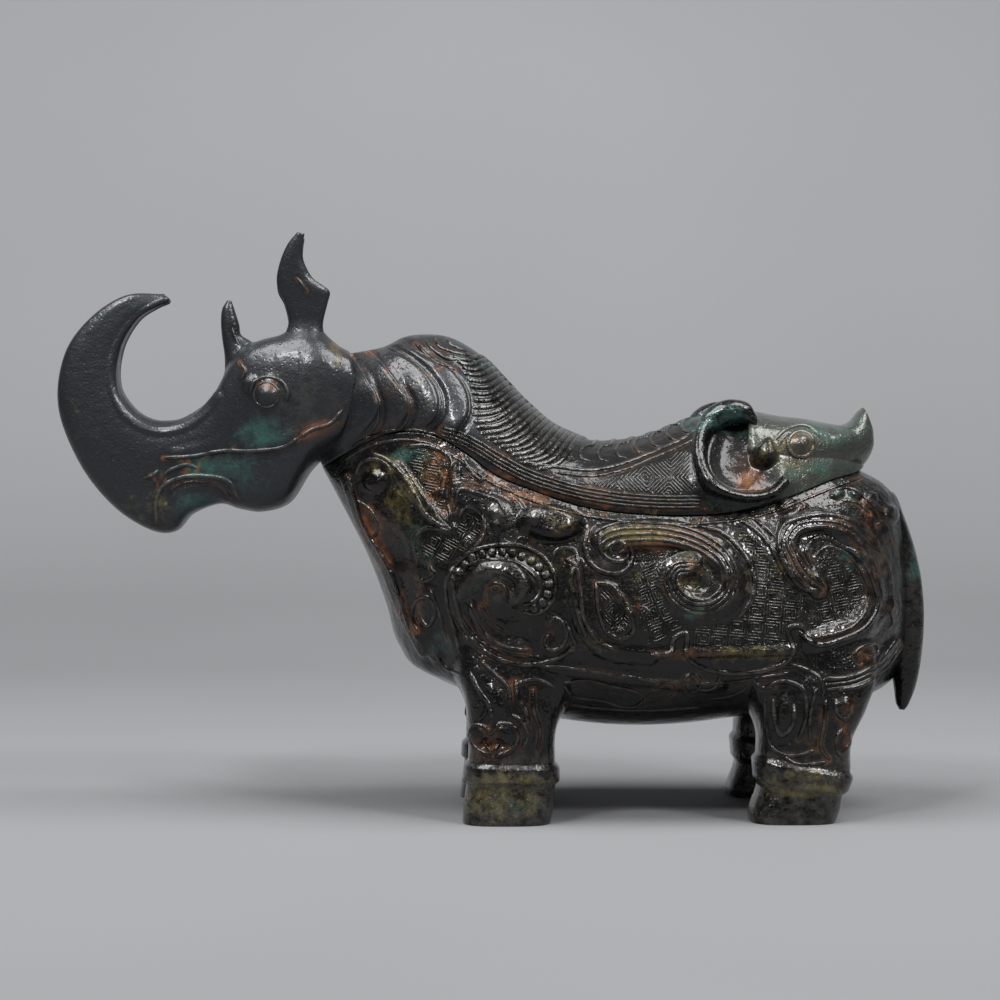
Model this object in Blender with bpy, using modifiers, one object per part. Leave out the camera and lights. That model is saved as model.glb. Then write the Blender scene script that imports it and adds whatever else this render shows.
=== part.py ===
"""Rhinoceros-shaped bronze pouring vessel with a lift-off lid.

The animal faces -X and stands on Z = 0, so its left side is towards -Y. All lengths are in metres.
The hollow body, its legs and its tail are castings brazed together. The lid carries the neck and back,
with the head, ears, brow horn and the rear mask brazed to it, and lifts straight up off the saddle-shaped rim.
"""

import math

import bmesh
import bpy
import numpy as np

# Walls and fits
VESSEL_WALL = 0.003
LID_WALL = 0.003
BRAZE_GAP = 0.0003
LID_SEAT_GAP = 0.0003
STRIP_FIT = 0.0008

# Widths of the hollow body
BODY_HALF_WIDTH = 0.049
MOUTH_HALF_WIDTH = 0.040
BULGE_LEVEL = 0.52
SPOUT_FULLNESS = 1.6
CHEST_FULLNESS = 3.0
REAR_FULLNESS = 2.6
ROOF_FULLNESS = 2.0

# Locating strips under the lid
STRIP_THICKNESS = 0.002
STRIP_DROP = 0.006
STRIP_RISE = 0.004
STRIP_START = 0.20
STRIP_END = 0.82

# Head, horn, ears, tail and legs
HEAD_HALF_WIDTH = 0.021
BROW_HORN_HALF_WIDTH = 0.0036
TAIL_HALF_WIDTH = 0.0062
LEG_HALF_WIDTH = 0.0135
LEG_INSET = 0.0035
LEG_BAND_SWELL = 0.0015
EAR_HALF_THICKNESS = 0.0026
EAR_BASE_SPREAD = 0.0085
EAR_LEAN = 0.06
EAR_TANG = 0.005
HORN_TANG = 0.006
MASK_EAR_HALF_WIDTH = 0.005
MASK_EAR_STAND = 0.001
MASK_EAR_TOP_LEVEL = 0.85

# Mesh fineness
BODY_STATIONS = 44
BODY_LEVELS_BELOW = 9
BODY_LEVELS_ABOVE = 8
LID_STATIONS = 46
LID_LEVELS = 10
STRIP_STATIONS = 26
END_CROWDING = 0.5
PIECE_SIDES = 16
SMALL_SIDES = 12
LEG_STEPS = 3
PIECE_STEPS = 2

# Side profile, in metres: (x, z) points from the animal's left.
KEEL_LINE = [(-0.010, 0.041), (0.005, 0.035), (0.024, 0.031), (0.044, 0.029),
             (0.065, 0.0295), (0.085, 0.032), (0.108, 0.035), (0.128, 0.0375)]
RIM_LINE = [(-0.059, 0.118), (-0.048, 0.124), (-0.038, 0.1285), (-0.029, 0.130), (-0.020, 0.1285),
            (-0.011, 0.1235), (0.000, 0.1155), (0.012, 0.1105), (0.029, 0.105), (0.048, 0.1025),
            (0.065, 0.102), (0.082, 0.1035), (0.100, 0.1085), (0.115, 0.114), (0.1275, 0.117)]
CHEST_LINE = [(-0.010, 0.041), (-0.019, 0.045), (-0.0275, 0.0495), (-0.032, 0.0555),
              (-0.037, 0.071), (-0.043, 0.087), (-0.051, 0.103), (-0.059, 0.118)]
RUMP_LINE = [(0.128, 0.0375), (0.136, 0.042), (0.140, 0.049), (0.1423, 0.060), (0.1428, 0.073),
             (0.142, 0.087), (0.1405, 0.100), (0.139, 0.107), (0.134, 0.1135), (0.1275, 0.117)]
RIDGE_LINE = [(-0.052, 0.157), (-0.046, 0.158), (-0.037, 0.160), (-0.031, 0.163), (-0.0235, 0.164),
              (-0.015, 0.163), (-0.008, 0.1595), (-0.001, 0.154), (0.006, 0.1465), (0.013, 0.1395),
              (0.020, 0.1335), (0.027, 0.130), (0.034, 0.1275), (0.041, 0.1275), (0.051, 0.129),
              (0.060, 0.132), (0.068, 0.135), (0.076, 0.136), (0.085, 0.134), (0.098, 0.129), (0.112, 0.122)]
NECK_FRONT = [(0.0, -0.059), (0.5, -0.066), (1.0, -0.052)]
LID_REAR = [(0.0, 0.1275), (0.5, 0.125), (1.0, 0.112)]

# Cast relief on the flanks, seen from the side.
# Bosses: (x, z) of the middle, half length, half height, rise.
FLANK_BOSSES = [(0.0029, 0.0765, 0.0175, 0.0155, 0.0024), (0.0179, 0.0997, 0.0124, 0.0068, 0.0024),
                (0.0687, 0.0814, 0.0150, 0.0138, 0.0022), (0.0372, 0.0909, 0.0085, 0.0082, 0.0014),
                (-0.0330, 0.1010, 0.0090, 0.0130, 0.0012)]
# Ribbons: half width, rise, (x, z) points along the middle.
FLANK_RIBBONS = [(0.0050, 0.0016, [(0.0353, 0.0951), (0.0589, 0.0961), (0.0716, 0.0919)]),
                 (0.0045, 0.0020, [(0.1067, 0.0781), (0.0995, 0.0840), (0.0952, 0.0919), (0.0978, 0.0984),
                                   (0.1073, 0.1010), (0.1178, 0.0977), (0.1247, 0.0879), (0.1273, 0.0748),
                                   (0.1217, 0.0656), (0.1053, 0.0604)])]
RELIEF_FLAT = 0.45

# Overlapping folds of the neck: (z, x) of the front edge of the first fold and of the rear edge of the last.
FIRST_FOLD = [(0.1273, -0.0568), (0.1330, -0.0508), (0.1377, -0.0485), (0.1439, -0.0491),
              (0.1554, -0.0536), (0.1631, -0.0564)]
LAST_FOLD = [(0.1300, -0.0124), (0.1356, -0.0084), (0.1434, -0.0087), (0.1526, -0.0153), (0.1621, -0.0315)]
NECK_FOLDS = 4
NECK_FOLD_RISE = 0.0018
NECK_FOLD_EDGE = 0.82
NECK_FOLD_FADE = 0.16

# Rungs: (x, z) of one edge, (x, z) of the other edge, share of the piece's half width.
# The rear mask's half width is the mouth's.
HEAD_RUNGS = [(-0.0505, 0.1580, -0.0550, 0.1245, 0.90), (-0.0605, 0.1645, -0.0630, 0.1165, 1.00),
              (-0.0725, 0.1635, -0.0700, 0.1060, 0.98), (-0.0830, 0.1605, -0.0790, 0.1028, 0.88),
              (-0.0900, 0.1540, -0.0870, 0.1037, 0.76), (-0.0970, 0.1420, -0.0940, 0.1055, 0.67),
              (-0.1060, 0.1355, -0.1035, 0.1020, 0.60), (-0.1130, 0.1342, -0.1095, 0.0960, 0.56),
              (-0.1185, 0.1352, -0.1180, 0.0965, 0.53), (-0.1235, 0.1385, -0.1305, 0.1045, 0.50),
              (-0.1280, 0.1450, -0.1420, 0.1190, 0.46), (-0.1290, 0.1525, -0.1495, 0.1385, 0.41),
              (-0.1272, 0.1610, -0.1475, 0.1565, 0.36), (-0.1222, 0.1690, -0.1390, 0.1690, 0.31),
              (-0.1165, 0.1730, -0.1265, 0.1772, 0.25), (-0.1115, 0.1752, -0.1135, 0.1778, 0.12)]
EAR_RUNGS = [(-0.0702, 0.1640, -0.0590, 0.1640, 1.15), (-0.0702, 0.1691, -0.0580, 0.1691, 1.1),
             (-0.0716, 0.1747, -0.0566, 0.1747, 1.0), (-0.0737, 0.1788, -0.0562, 0.1785, 0.95),
             (-0.0740, 0.1834, -0.0617, 0.1827, 0.85), (-0.0726, 0.1892, -0.0648, 0.1885, 0.75),
             (-0.0702, 0.1944, -0.0650, 0.1937, 0.6), (-0.0670, 0.1982, -0.0645, 0.1977, 0.35)]
BROW_HORN_RUNGS = [(-0.0918, 0.1531, -0.0842, 0.1611, 1.00), (-0.0932, 0.1604, -0.0870, 0.1639, 0.86),
                   (-0.0939, 0.1673, -0.0876, 0.1673, 0.75), (-0.0935, 0.1725, -0.0890, 0.1718, 0.56),
                   (-0.0917, 0.1757, -0.0902, 0.1754, 0.25)]
TAIL_RUNGS = [(0.1310, 0.1010, 0.1390, 0.1085, 0.97), (0.1370, 0.0910, 0.1452, 0.0945, 1.00),
              (0.1395, 0.0790, 0.1488, 0.0805, 1.00), (0.1400, 0.0670, 0.1500, 0.0670, 0.94),
              (0.1400, 0.0555, 0.1494, 0.0545, 0.84), (0.1398, 0.0450, 0.1477, 0.0436, 0.71),
              (0.1402, 0.0370, 0.1450, 0.0360, 0.45), (0.1415, 0.0338, 0.1434, 0.0336, 0.23)]
MASK_RUNGS = [(0.0865, 0.1372, 0.0865, 0.1130, 0.67), (0.0977, 0.1356, 0.0977, 0.1135, 0.66),
              (0.1065, 0.1347, 0.1065, 0.1160, 0.60), (0.1150, 0.1320, 0.1150, 0.1180, 0.50),
              (0.1212, 0.1312, 0.1222, 0.1195, 0.39), (0.1256, 0.1328, 0.1280, 0.1205, 0.30),
              (0.1285, 0.1375, 0.1316, 0.1245, 0.22), (0.1293, 0.1386, 0.1320, 0.1290, 0.15)]
MASK_EAR_RUNGS = [(0.0884, 0.1317, 0.0887, 0.1347), (0.0844, 0.1343, 0.0854, 0.1387),
                  (0.0793, 0.1337, 0.0783, 0.1394), (0.0740, 0.1297, 0.0713, 0.1353),
                  (0.0706, 0.1230, 0.0666, 0.1250), (0.0713, 0.1163, 0.0680, 0.1136),
                  (0.0767, 0.1115, 0.0740, 0.1088), (0.0844, 0.1098, 0.0835, 0.1068),
                  (0.0914, 0.1112, 0.0924, 0.1083), (0.0964, 0.1155, 0.0984, 0.1130)]
# Leg rungs: (x, z) of the front edge, (x, z) of the back edge, share of the leg's half width,
# and how far the rung is tucked in, so that the shoulder and the haunch die into the flank.
FRONT_LEG_RUNGS = [(-0.0110, 0.0, 0.0185, 0.0, 1.0, 0.0), (-0.0105, 0.006, 0.0195, 0.006, 1.0, 0.0),
                   (-0.0095, 0.0135, 0.0200, 0.0128, 0.96, 0.0), (-0.0090, 0.0205, 0.0200, 0.0198, 0.96, 0.0),
                   (-0.0090, 0.030, 0.0200, 0.029, 1.0, 0.0), (-0.0100, 0.040, 0.0220, 0.038, 1.0, 0.0),
                   (-0.0120, 0.050, 0.0250, 0.049, 0.98, 0.0016), (-0.0090, 0.060, 0.0270, 0.060, 0.92, 0.0055),
                   (-0.0020, 0.071, 0.0260, 0.071, 0.75, 0.0140)]
REAR_LEG_RUNGS = [(0.0850, 0.0, 0.1135, 0.0, 0.96, 0.0), (0.0852, 0.004, 0.1150, 0.004, 0.96, 0.0),
                  (0.0880, 0.0125, 0.1160, 0.009, 0.94, 0.0), (0.0875, 0.0225, 0.1185, 0.0165, 0.96, 0.0),
                  (0.0878, 0.030, 0.1190, 0.027, 0.98, 0.0), (0.0870, 0.038, 0.1240, 0.038, 1.0, 0.0),
                  (0.0850, 0.048, 0.1275, 0.049, 0.98, 0.0016), (0.0850, 0.060, 0.1245, 0.060, 0.92, 0.0055),
                  (0.0880, 0.071, 0.1170, 0.071, 0.75, 0.0140)]
LEG_BAND_AT = 2.5
LEG_BAND_SPAN = 0.55

HEAD_SQUARENESS = 2.4
LEG_SQUARENESS = 3.2
PLATE_SQUARENESS = 2.2
MERGE = 0.00001
SMOOTH_UP_TO = math.radians(40)

# Finish: colour, metallic, roughness
DARK_BRONZE = ("dark_bronze", (0.060, 0.062, 0.060, 1.0), 0.85, 0.38)
GREEN_BRONZE = ("green_bronze", (0.055, 0.085, 0.078, 1.0), 0.75, 0.45)


def clear_scene():
    for item in list(bpy.data.objects):
        bpy.data.objects.remove(item, do_unlink=True)


def new_collection(name):
    group = bpy.data.collections.new(name)
    bpy.context.scene.collection.children.link(group)
    return group


def new_material(finish):
    name, colour, metallic, roughness = finish
    material = bpy.data.materials.new(name)
    material.use_nodes = True
    shader = material.node_tree.nodes["Principled BSDF"]
    shader.inputs["Base Color"].default_value = colour
    shader.inputs["Metallic"].default_value = metallic
    shader.inputs["Roughness"].default_value = roughness
    return material


def through(knots, at):
    """Smooth curve through knots of (place, value, ...), read at the given places."""
    knots = np.asarray(knots, float)
    place, value = knots[:, 0], knots[:, 1:]
    slope = np.gradient(value, place, axis=0)
    at = np.clip(np.asarray(at, float), place[0], place[-1])
    i = np.clip(np.searchsorted(place, at) - 1, 0, len(place) - 2)
    step = (place[i + 1] - place[i])[..., None]
    f = ((at - place[i]) / (place[i + 1] - place[i]))[..., None]
    start = (1 + 2 * f) * (1 - f) ** 2 * value[i] + f * (1 - f) ** 2 * step * slope[i]
    end = f * f * (3 - 2 * f) * value[i + 1] + f * f * (f - 1) * step * slope[i + 1]
    return start + end


def height_at(line, share):
    """Height of a profile line at a share of its length along X."""
    line = np.asarray(line)
    x = line[0, 0] + (line[-1, 0] - line[0, 0]) * np.asarray(share, float)
    return through(line, x)[..., 0]


def reach_at(line, height):
    """X of an upright profile line at a height."""
    flipped = np.asarray(line)[:, ::-1]
    return through(flipped, height)[..., 0]


def plan(share, front_fullness=SPOUT_FULLNESS):
    """Half width along the body, 1 at the middle and 0 at both ends."""
    off = 2 * np.asarray(share, float) - 1
    power = np.where(off < 0, front_fullness, REAR_FULLNESS)
    return np.sqrt(np.maximum(0.0, 1 - np.abs(off) ** power))


def even_stations(count):
    """Places from 0 to 1, closer together at both ends."""
    even = np.linspace(0, 1, count)
    return (1 - END_CROWDING) * even + END_CROWDING * (1 - np.cos(math.pi * even)) / 2


def soft_step(low, high, value):
    f = np.clip((value - low) / (high - low), 0, 1)
    return f * f * (3 - 2 * f)


def line_distance(x, z, line):
    """Distance from places to a line of straight runs, seen from the side."""
    best = np.full(len(x), np.inf)
    for (x1, z1), (x2, z2) in zip(line, line[1:]):
        run = np.array([x2 - x1, z2 - z1])
        f = np.clip(((x - x1) * run[0] + (z - z1) * run[1]) / (run @ run), 0, 1)
        best = np.minimum(best, np.hypot(x - x1 - f * run[0], z - z1 - f * run[1]))
    return best


def flank_rise(x, z):
    """How far the cast relief stands out of the flank at places seen from the side."""
    rise = np.zeros(len(x))
    for middle_x, middle_z, half_length, half_height, top in FLANK_BOSSES:
        off = np.hypot((x - middle_x) / half_length, (z - middle_z) / half_height)
        rise = np.maximum(rise, top * (1 - soft_step(RELIEF_FLAT, 1.0, off)))
    for half_width, top, line in FLANK_RIBBONS:
        off = line_distance(x, z, line) / half_width
        rise = np.maximum(rise, top * (1 - soft_step(RELIEF_FLAT, 1.0, off)))
    return rise


def neck_rise(x, z):
    """How far the folds of the neck stand out: each swells towards its rear edge and drops to the next."""
    first, last = through(FIRST_FOLD, z)[..., 0], through(LAST_FOLD, z)[..., 0]
    place = (x - first) / (last - first) * NECK_FOLDS
    across = place - np.floor(place)
    pillow = (1 - (1 - across) ** 2) * (1 - soft_step(NECK_FOLD_EDGE, 1.0, across))
    return NECK_FOLD_RISE * np.where((place >= 0) & (place < NECK_FOLDS), pillow, 0.0)


def vessel_half_width(share, level):
    """Half width of the vessel: fullest at the bulge, with the chest narrowing up to the spout."""
    below = BODY_HALF_WIDTH * math.sqrt(max(0.0, 1 - (1 - min(level / BULGE_LEVEL, 1.0)) ** 2))
    above = max(0.0, (level - BULGE_LEVEL) / (1 - BULGE_LEVEL))
    widest = below - (BODY_HALF_WIDTH - MOUTH_HALF_WIDTH) * above ** 2
    return widest * plan(share, CHEST_FULLNESS + (SPOUT_FULLNESS - CHEST_FULLNESS) * above)


def vessel_points(share, level):
    """(x, half width, z) on the outside of the vessel; level runs from keel to rim."""
    z = (1 - level) * height_at(KEEL_LINE, share) + level * height_at(RIM_LINE, share)
    ends = (1 - level) * height_at(KEEL_LINE, [0, 1]) + level * height_at(RIM_LINE, [0, 1])
    front, rear = reach_at(CHEST_LINE, ends[0]), reach_at(RUMP_LINE, ends[1])
    x = front + (rear - front) * share
    return x, vessel_half_width(share, level) + flank_rise(x, z), z


def lid_points(share, level):
    """(x, half width, z) on the outside of the lid; level runs from rim to ridge."""
    seat = height_at(RIM_LINE, share) + LID_SEAT_GAP
    z = (1 - level) * seat + level * height_at(RIDGE_LINE, share)
    front, rear = through(NECK_FRONT, level)[0], through(LID_REAR, level)[0]
    x = front + (rear - front) * share
    roof = max(0.0, 1 - level ** ROOF_FULLNESS) ** (1 / ROOF_FULLNESS)
    folds = neck_rise(x, z) * soft_step(0.0, NECK_FOLD_FADE, level)
    return x, (MOUTH_HALF_WIDTH * plan(share) + folds) * roof, z


def ring_of(x, half_width, z):
    """A closed ring: along the left side from front to rear, and back along the right side."""
    left = np.stack([x, -half_width, z], axis=1)
    right = np.stack([x, half_width, z], axis=1)[-2:0:-1]
    return np.concatenate([left, right])


def loft_mesh(name, rings, cap_first=False, cap_last=False):
    """Mesh skinned over rings of equal length, each symmetric about its first and middle points."""
    form = bmesh.new()
    rows = [[form.verts.new(p) for p in ring] for ring in rings]
    count = len(rows[0])
    for low, high in zip(rows, rows[1:]):
        for i in range(count):
            j = (i + 1) % count
            form.faces.new((low[i], low[j], high[j], high[i]))
    for row, wanted in ((rows[0], cap_first), (rows[-1], cap_last)):
        for i in range(count // 2 if wanted else 0):
            corners = [row[i], row[i + 1], row[(count - i - 1) % count], row[(count - i) % count]]
            form.faces.new(list(dict.fromkeys(corners)))
    bmesh.ops.remove_doubles(form, verts=form.verts, dist=MERGE)
    bmesh.ops.dissolve_degenerate(form, edges=form.edges, dist=MERGE)
    bmesh.ops.recalc_face_normals(form, faces=form.faces)
    mesh = bpy.data.meshes.new(name)
    form.to_mesh(mesh)
    form.free()
    return mesh


def add_object(name, mesh, group, material=None):
    mesh.shade_smooth()
    mesh.set_sharp_from_angle(angle=SMOOTH_UP_TO)
    item = bpy.data.objects.new(name, mesh)
    group.objects.link(item)
    if material:
        mesh.materials.append(material)
    return item


def add_cutter(name, mesh, group, grow):
    """A hidden copy of a closed mesh, grown along its normals, for cutting a neighbour."""
    grown = mesh.copy()
    normals = [v.normal.copy() for v in grown.vertices]
    for vertex, normal in zip(grown.vertices, normals):
        vertex.co += normal * grow
    grown.name = name
    item = bpy.data.objects.new(name, grown)
    item.hide_render = True
    item.display_type = "WIRE"
    group.objects.link(item)
    return item


def cut(item, cutter):
    modifier = item.modifiers.new("cut_" + cutter.name, "BOOLEAN")
    modifier.operation = "DIFFERENCE"
    modifier.solver = "EXACT"
    modifier.object = cutter


def give_wall(item, thickness):
    modifier = item.modifiers.new("wall", "SOLIDIFY")
    modifier.thickness = thickness
    modifier.offset = -1.0


def sized(rungs, half_width):
    """The rungs with their share of the half width made a size."""
    return [(*rung[:4], half_width * rung[4]) for rung in rungs]


def rung_rings(rungs, steps, sides, squareness):
    """Rings across a run of rungs, each a rounded section between the rung's two edges.

    A rung is (x, z) of one edge, (x, z) of the other, the half width and, if it isn't 0, the centre's Y.
    """
    rungs = np.array([(*rung, 0.0)[:6] for rung in rungs])
    knots = np.column_stack([np.arange(len(rungs)), rungs])
    places = np.linspace(0, len(rungs) - 1, (len(rungs) - 1) * steps + 1)
    angles = np.linspace(0, 2 * math.pi, sides, endpoint=False)
    along = np.sign(np.cos(angles)) * np.abs(np.cos(angles)) ** (2 / squareness)
    across = np.sign(np.sin(angles)) * np.abs(np.sin(angles)) ** (2 / squareness)
    across[0] = across[sides // 2] = 0.0
    rings = []
    for x1, z1, x2, z2, half, centre in through(knots, places):
        x = (x1 + x2) / 2 + along * (x1 - x2) / 2
        z = (z1 + z2) / 2 + along * (z1 - z2) / 2
        rings.append(np.stack([x, centre - across * half, z], axis=1))
    return rings


def vessel_rings():
    share = even_stations(BODY_STATIONS)
    levels = BULGE_LEVEL * (1 - np.cos(np.linspace(0, math.pi / 2, BODY_LEVELS_BELOW)))
    levels = np.concatenate([levels, np.linspace(BULGE_LEVEL, 1.0, BODY_LEVELS_ABOVE + 1)[1:]])
    return [ring_of(*vessel_points(share, level)) for level in levels]


def lid_rings():
    share = even_stations(LID_STATIONS)
    levels = np.sin(np.linspace(0, math.pi / 2, LID_LEVELS))
    return [ring_of(*lid_points(share, level)) for level in levels]


def lid_side_at(x, z):
    """Half width of the lid's outside at a place seen from the side."""
    share = (x - RIM_LINE[0][0]) / (RIM_LINE[-1][0] - RIM_LINE[0][0])
    seat = height_at(RIM_LINE, share)
    ridge = through(RIDGE_LINE, x)[0]
    level = min(max((z - seat) / (ridge - seat), 0.0), MASK_EAR_TOP_LEVEL)
    return MOUTH_HALF_WIDTH * float(plan(share)) * (1 - level ** ROOF_FULLNESS) ** (1 / ROOF_FULLNESS)


def make_vessel_body(parts, cutters, material):
    rings = vessel_rings()
    body = add_object("vessel_body", loft_mesh("vessel_body", rings), parts, material)
    give_wall(body, VESSEL_WALL)
    closed = loft_mesh("vessel_solid", rings, cap_last=True)
    return add_cutter("vessel_cutter", closed, cutters, BRAZE_GAP)


def make_leg(name, rungs, side, parts, vessel_cutter, material):
    """A leg with a raised band above its hoof, its top cut to the vessel's underside."""
    centre = BODY_HALF_WIDTH - LEG_INSET - LEG_HALF_WIDTH
    placed = [(x1, z1, x2, z2, LEG_HALF_WIDTH * share, side * (centre - tuck))
              for x1, z1, x2, z2, share, tuck in rungs]
    rings = rung_rings(placed, LEG_STEPS, PIECE_SIDES, LEG_SQUARENESS)
    for number, ring in enumerate(rings):
        off = abs(number / LEG_STEPS - LEG_BAND_AT)
        swell = LEG_BAND_SWELL * max(0.0, 1 - off / LEG_BAND_SPAN)
        outward = ring - ring.mean(axis=0)
        reach = np.linalg.norm(outward[:, :2], axis=1, keepdims=True)
        ring[:, :2] += swell * outward[:, :2] / reach
    leg = add_object(name, loft_mesh(name, rings, True, True), parts, material)
    cut(leg, vessel_cutter)
    return leg


def make_tail(parts, vessel_cutter, material):
    rings = rung_rings(sized(TAIL_RUNGS, TAIL_HALF_WIDTH), PIECE_STEPS, SMALL_SIDES, PLATE_SQUARENESS)
    tail = add_object("tail", loft_mesh("tail", rings, True, True), parts, material)
    cut(tail, vessel_cutter)


def make_lid_shell(parts, cutters, material):
    rings = lid_rings()
    lid = add_object("lid_shell", loft_mesh("lid_shell", rings), parts, material)
    give_wall(lid, LID_WALL)
    closed = loft_mesh("lid_solid", rings, cap_first=True)
    return add_cutter("lid_cutter", closed, cutters, BRAZE_GAP)


def strip_ring(share, next_share, side):
    """Section of a locating strip: a thin upright band just inside the mouth."""
    x, half, z = vessel_points(np.array([share, next_share]), 1.0)
    tangent = np.array([x[1] - x[0], half[1] - half[0]])
    inward = np.array([tangent[1], -tangent[0]]) / np.linalg.norm(tangent)
    outer = np.array([x[0], half[0]]) + inward * (max(VESSEL_WALL, LID_WALL) + STRIP_FIT)
    inner = outer + inward * STRIP_THICKNESS
    bottom, top = z[0] - STRIP_DROP, z[0] + STRIP_RISE
    corners = [(outer, top), (outer, bottom), (inner, bottom), (inner, top)]
    return np.array([(p[0], side * p[1], height) for p, height in corners])


def make_strip(name, side, parts, lid_wall_cutter, material):
    shares = np.linspace(STRIP_START, STRIP_END, STRIP_STATIONS)
    step = shares[1] - shares[0]
    rings = [strip_ring(share, share + step, side) for share in shares]
    strip = add_object(name, loft_mesh(name, rings, True, True), parts, material)
    cut(strip, lid_wall_cutter)


def make_lid_wall_cutter(cutters):
    """The lid's own wall, grown inwards, so that the strips follow its inside."""
    wall = add_cutter("lid_wall_cutter", loft_mesh("lid_wall", lid_rings()), cutters, 0.0)
    give_wall(wall, LID_WALL + BRAZE_GAP)
    return wall


def with_tang(rungs, length):
    """The rungs with one more below the first, so that the piece has a tang to braze in."""
    x1, z1, x2, z2, half = rungs[0]
    nx1, nz1, nx2, nz2 = rungs[1][:4]
    run = np.array([(x1 + x2) - (nx1 + nx2), (z1 + z2) - (nz1 + nz2)])
    dx, dz = run / np.linalg.norm(run) * length
    return [(x1 + dx, z1 + dz, x2 + dx, z2 + dz, half)] + rungs


def make_ear(name, side, parts, cutters, material):
    """A leaf-shaped ear that leans outwards, with a tang in the head."""
    rungs = with_tang(sized(EAR_RUNGS, EAR_HALF_THICKNESS), EAR_TANG)
    leaning = [(*rung, side * (EAR_BASE_SPREAD + EAR_LEAN * (rung[1] - EAR_RUNGS[0][1]))) for rung in rungs]
    rings = rung_rings(leaning, PIECE_STEPS, SMALL_SIDES, PLATE_SQUARENESS)
    mesh = loft_mesh(name, rings, True, True)
    cutter = add_cutter(name + "_cutter", mesh, cutters, BRAZE_GAP)
    add_object(name, mesh, parts, material)
    return cutter


def make_brow_horn(parts, cutters, material):
    rungs = with_tang(sized(BROW_HORN_RUNGS, BROW_HORN_HALF_WIDTH), HORN_TANG)
    rings = rung_rings(rungs, PIECE_STEPS, SMALL_SIDES, PLATE_SQUARENESS)
    mesh = loft_mesh("brow_horn", rings, True, True)
    cutter = add_cutter("brow_horn_cutter", mesh, cutters, BRAZE_GAP)
    add_object("brow_horn", mesh, parts, material)
    return cutter


def make_head(parts, neighbours, material):
    """The head with its great nose horn, socketed for the neck, the ears and the brow horn."""
    rings = rung_rings(sized(HEAD_RUNGS, HEAD_HALF_WIDTH), PIECE_STEPS, PIECE_SIDES, HEAD_SQUARENESS)
    head = add_object("rhino_head", loft_mesh("rhino_head", rings, True, True), parts, material)
    for neighbour in neighbours:
        cut(head, neighbour)


def make_rear_mask(parts, cutters, lid_cutter, material):
    rings = rung_rings(sized(MASK_RUNGS, MOUTH_HALF_WIDTH), PIECE_STEPS, PIECE_SIDES, HEAD_SQUARENESS)
    mesh = loft_mesh("rear_mask", rings, True, True)
    cutter = add_cutter("rear_mask_cutter", mesh, cutters, BRAZE_GAP)
    mask = add_object("rear_mask", mesh, parts, material)
    cut(mask, lid_cutter)
    return cutter


def make_mask_ear(name, side, parts, neighbours, material):
    """A C-shaped ear standing out of the lid beside the rear mask."""
    standing = []
    for x1, z1, x2, z2 in MASK_EAR_RUNGS:
        stand = lid_side_at((x1 + x2) / 2, (z1 + z2) / 2) + MASK_EAR_STAND
        standing.append((x1, z1, x2, z2, MASK_EAR_HALF_WIDTH, side * stand))
    rings = rung_rings(standing, PIECE_STEPS, SMALL_SIDES, PLATE_SQUARENESS)
    ear = add_object(name, loft_mesh(name, rings, True, True), parts, material)
    for neighbour in neighbours:
        cut(ear, neighbour)


def main():
    clear_scene()
    parts = new_collection("rhinoceros_vessel")
    cutters = new_collection("cutters")
    dark = new_material(DARK_BRONZE)
    green = new_material(GREEN_BRONZE)

    vessel_cutter = make_vessel_body(parts, cutters, dark)
    make_leg("front_left_leg", FRONT_LEG_RUNGS, -1, parts, vessel_cutter, dark)
    make_leg("front_right_leg", FRONT_LEG_RUNGS, 1, parts, vessel_cutter, dark)
    make_leg("rear_left_leg", REAR_LEG_RUNGS, -1, parts, vessel_cutter, dark)
    make_leg("rear_right_leg", REAR_LEG_RUNGS, 1, parts, vessel_cutter, dark)
    make_tail(parts, vessel_cutter, dark)

    lid_cutter = make_lid_shell(parts, cutters, dark)
    lid_wall_cutter = make_lid_wall_cutter(cutters)
    make_strip("left_locating_strip", -1, parts, lid_wall_cutter, dark)
    make_strip("right_locating_strip", 1, parts, lid_wall_cutter, dark)
    left_ear = make_ear("left_ear", -1, parts, cutters, dark)
    right_ear = make_ear("right_ear", 1, parts, cutters, dark)
    brow_horn = make_brow_horn(parts, cutters, green)
    make_head(parts, [lid_cutter, left_ear, right_ear, brow_horn], green)
    mask = make_rear_mask(parts, cutters, lid_cutter, green)
    make_mask_ear("mask_left_ear", -1, parts, [lid_cutter, mask], green)
    make_mask_ear("mask_right_ear", 1, parts, [lid_cutter, mask], green)


main()
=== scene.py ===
"""Dresses the rhinoceros-shaped bronze vessel.

The castings are skinned finely over the frame's own profile lines, and their relief is laid out where the
photograph shows it, on the left side, and mirrored to the right. All lengths are in metres, unless a name
ends in _PX: those are places in the photograph, 1000 pixels wide, seen from the camera below.
"""

import math

import bmesh
import bpy
import numpy as np
from mathutils import Euler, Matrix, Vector, kdtree
from mathutils.bvhtree import BVHTree


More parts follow.
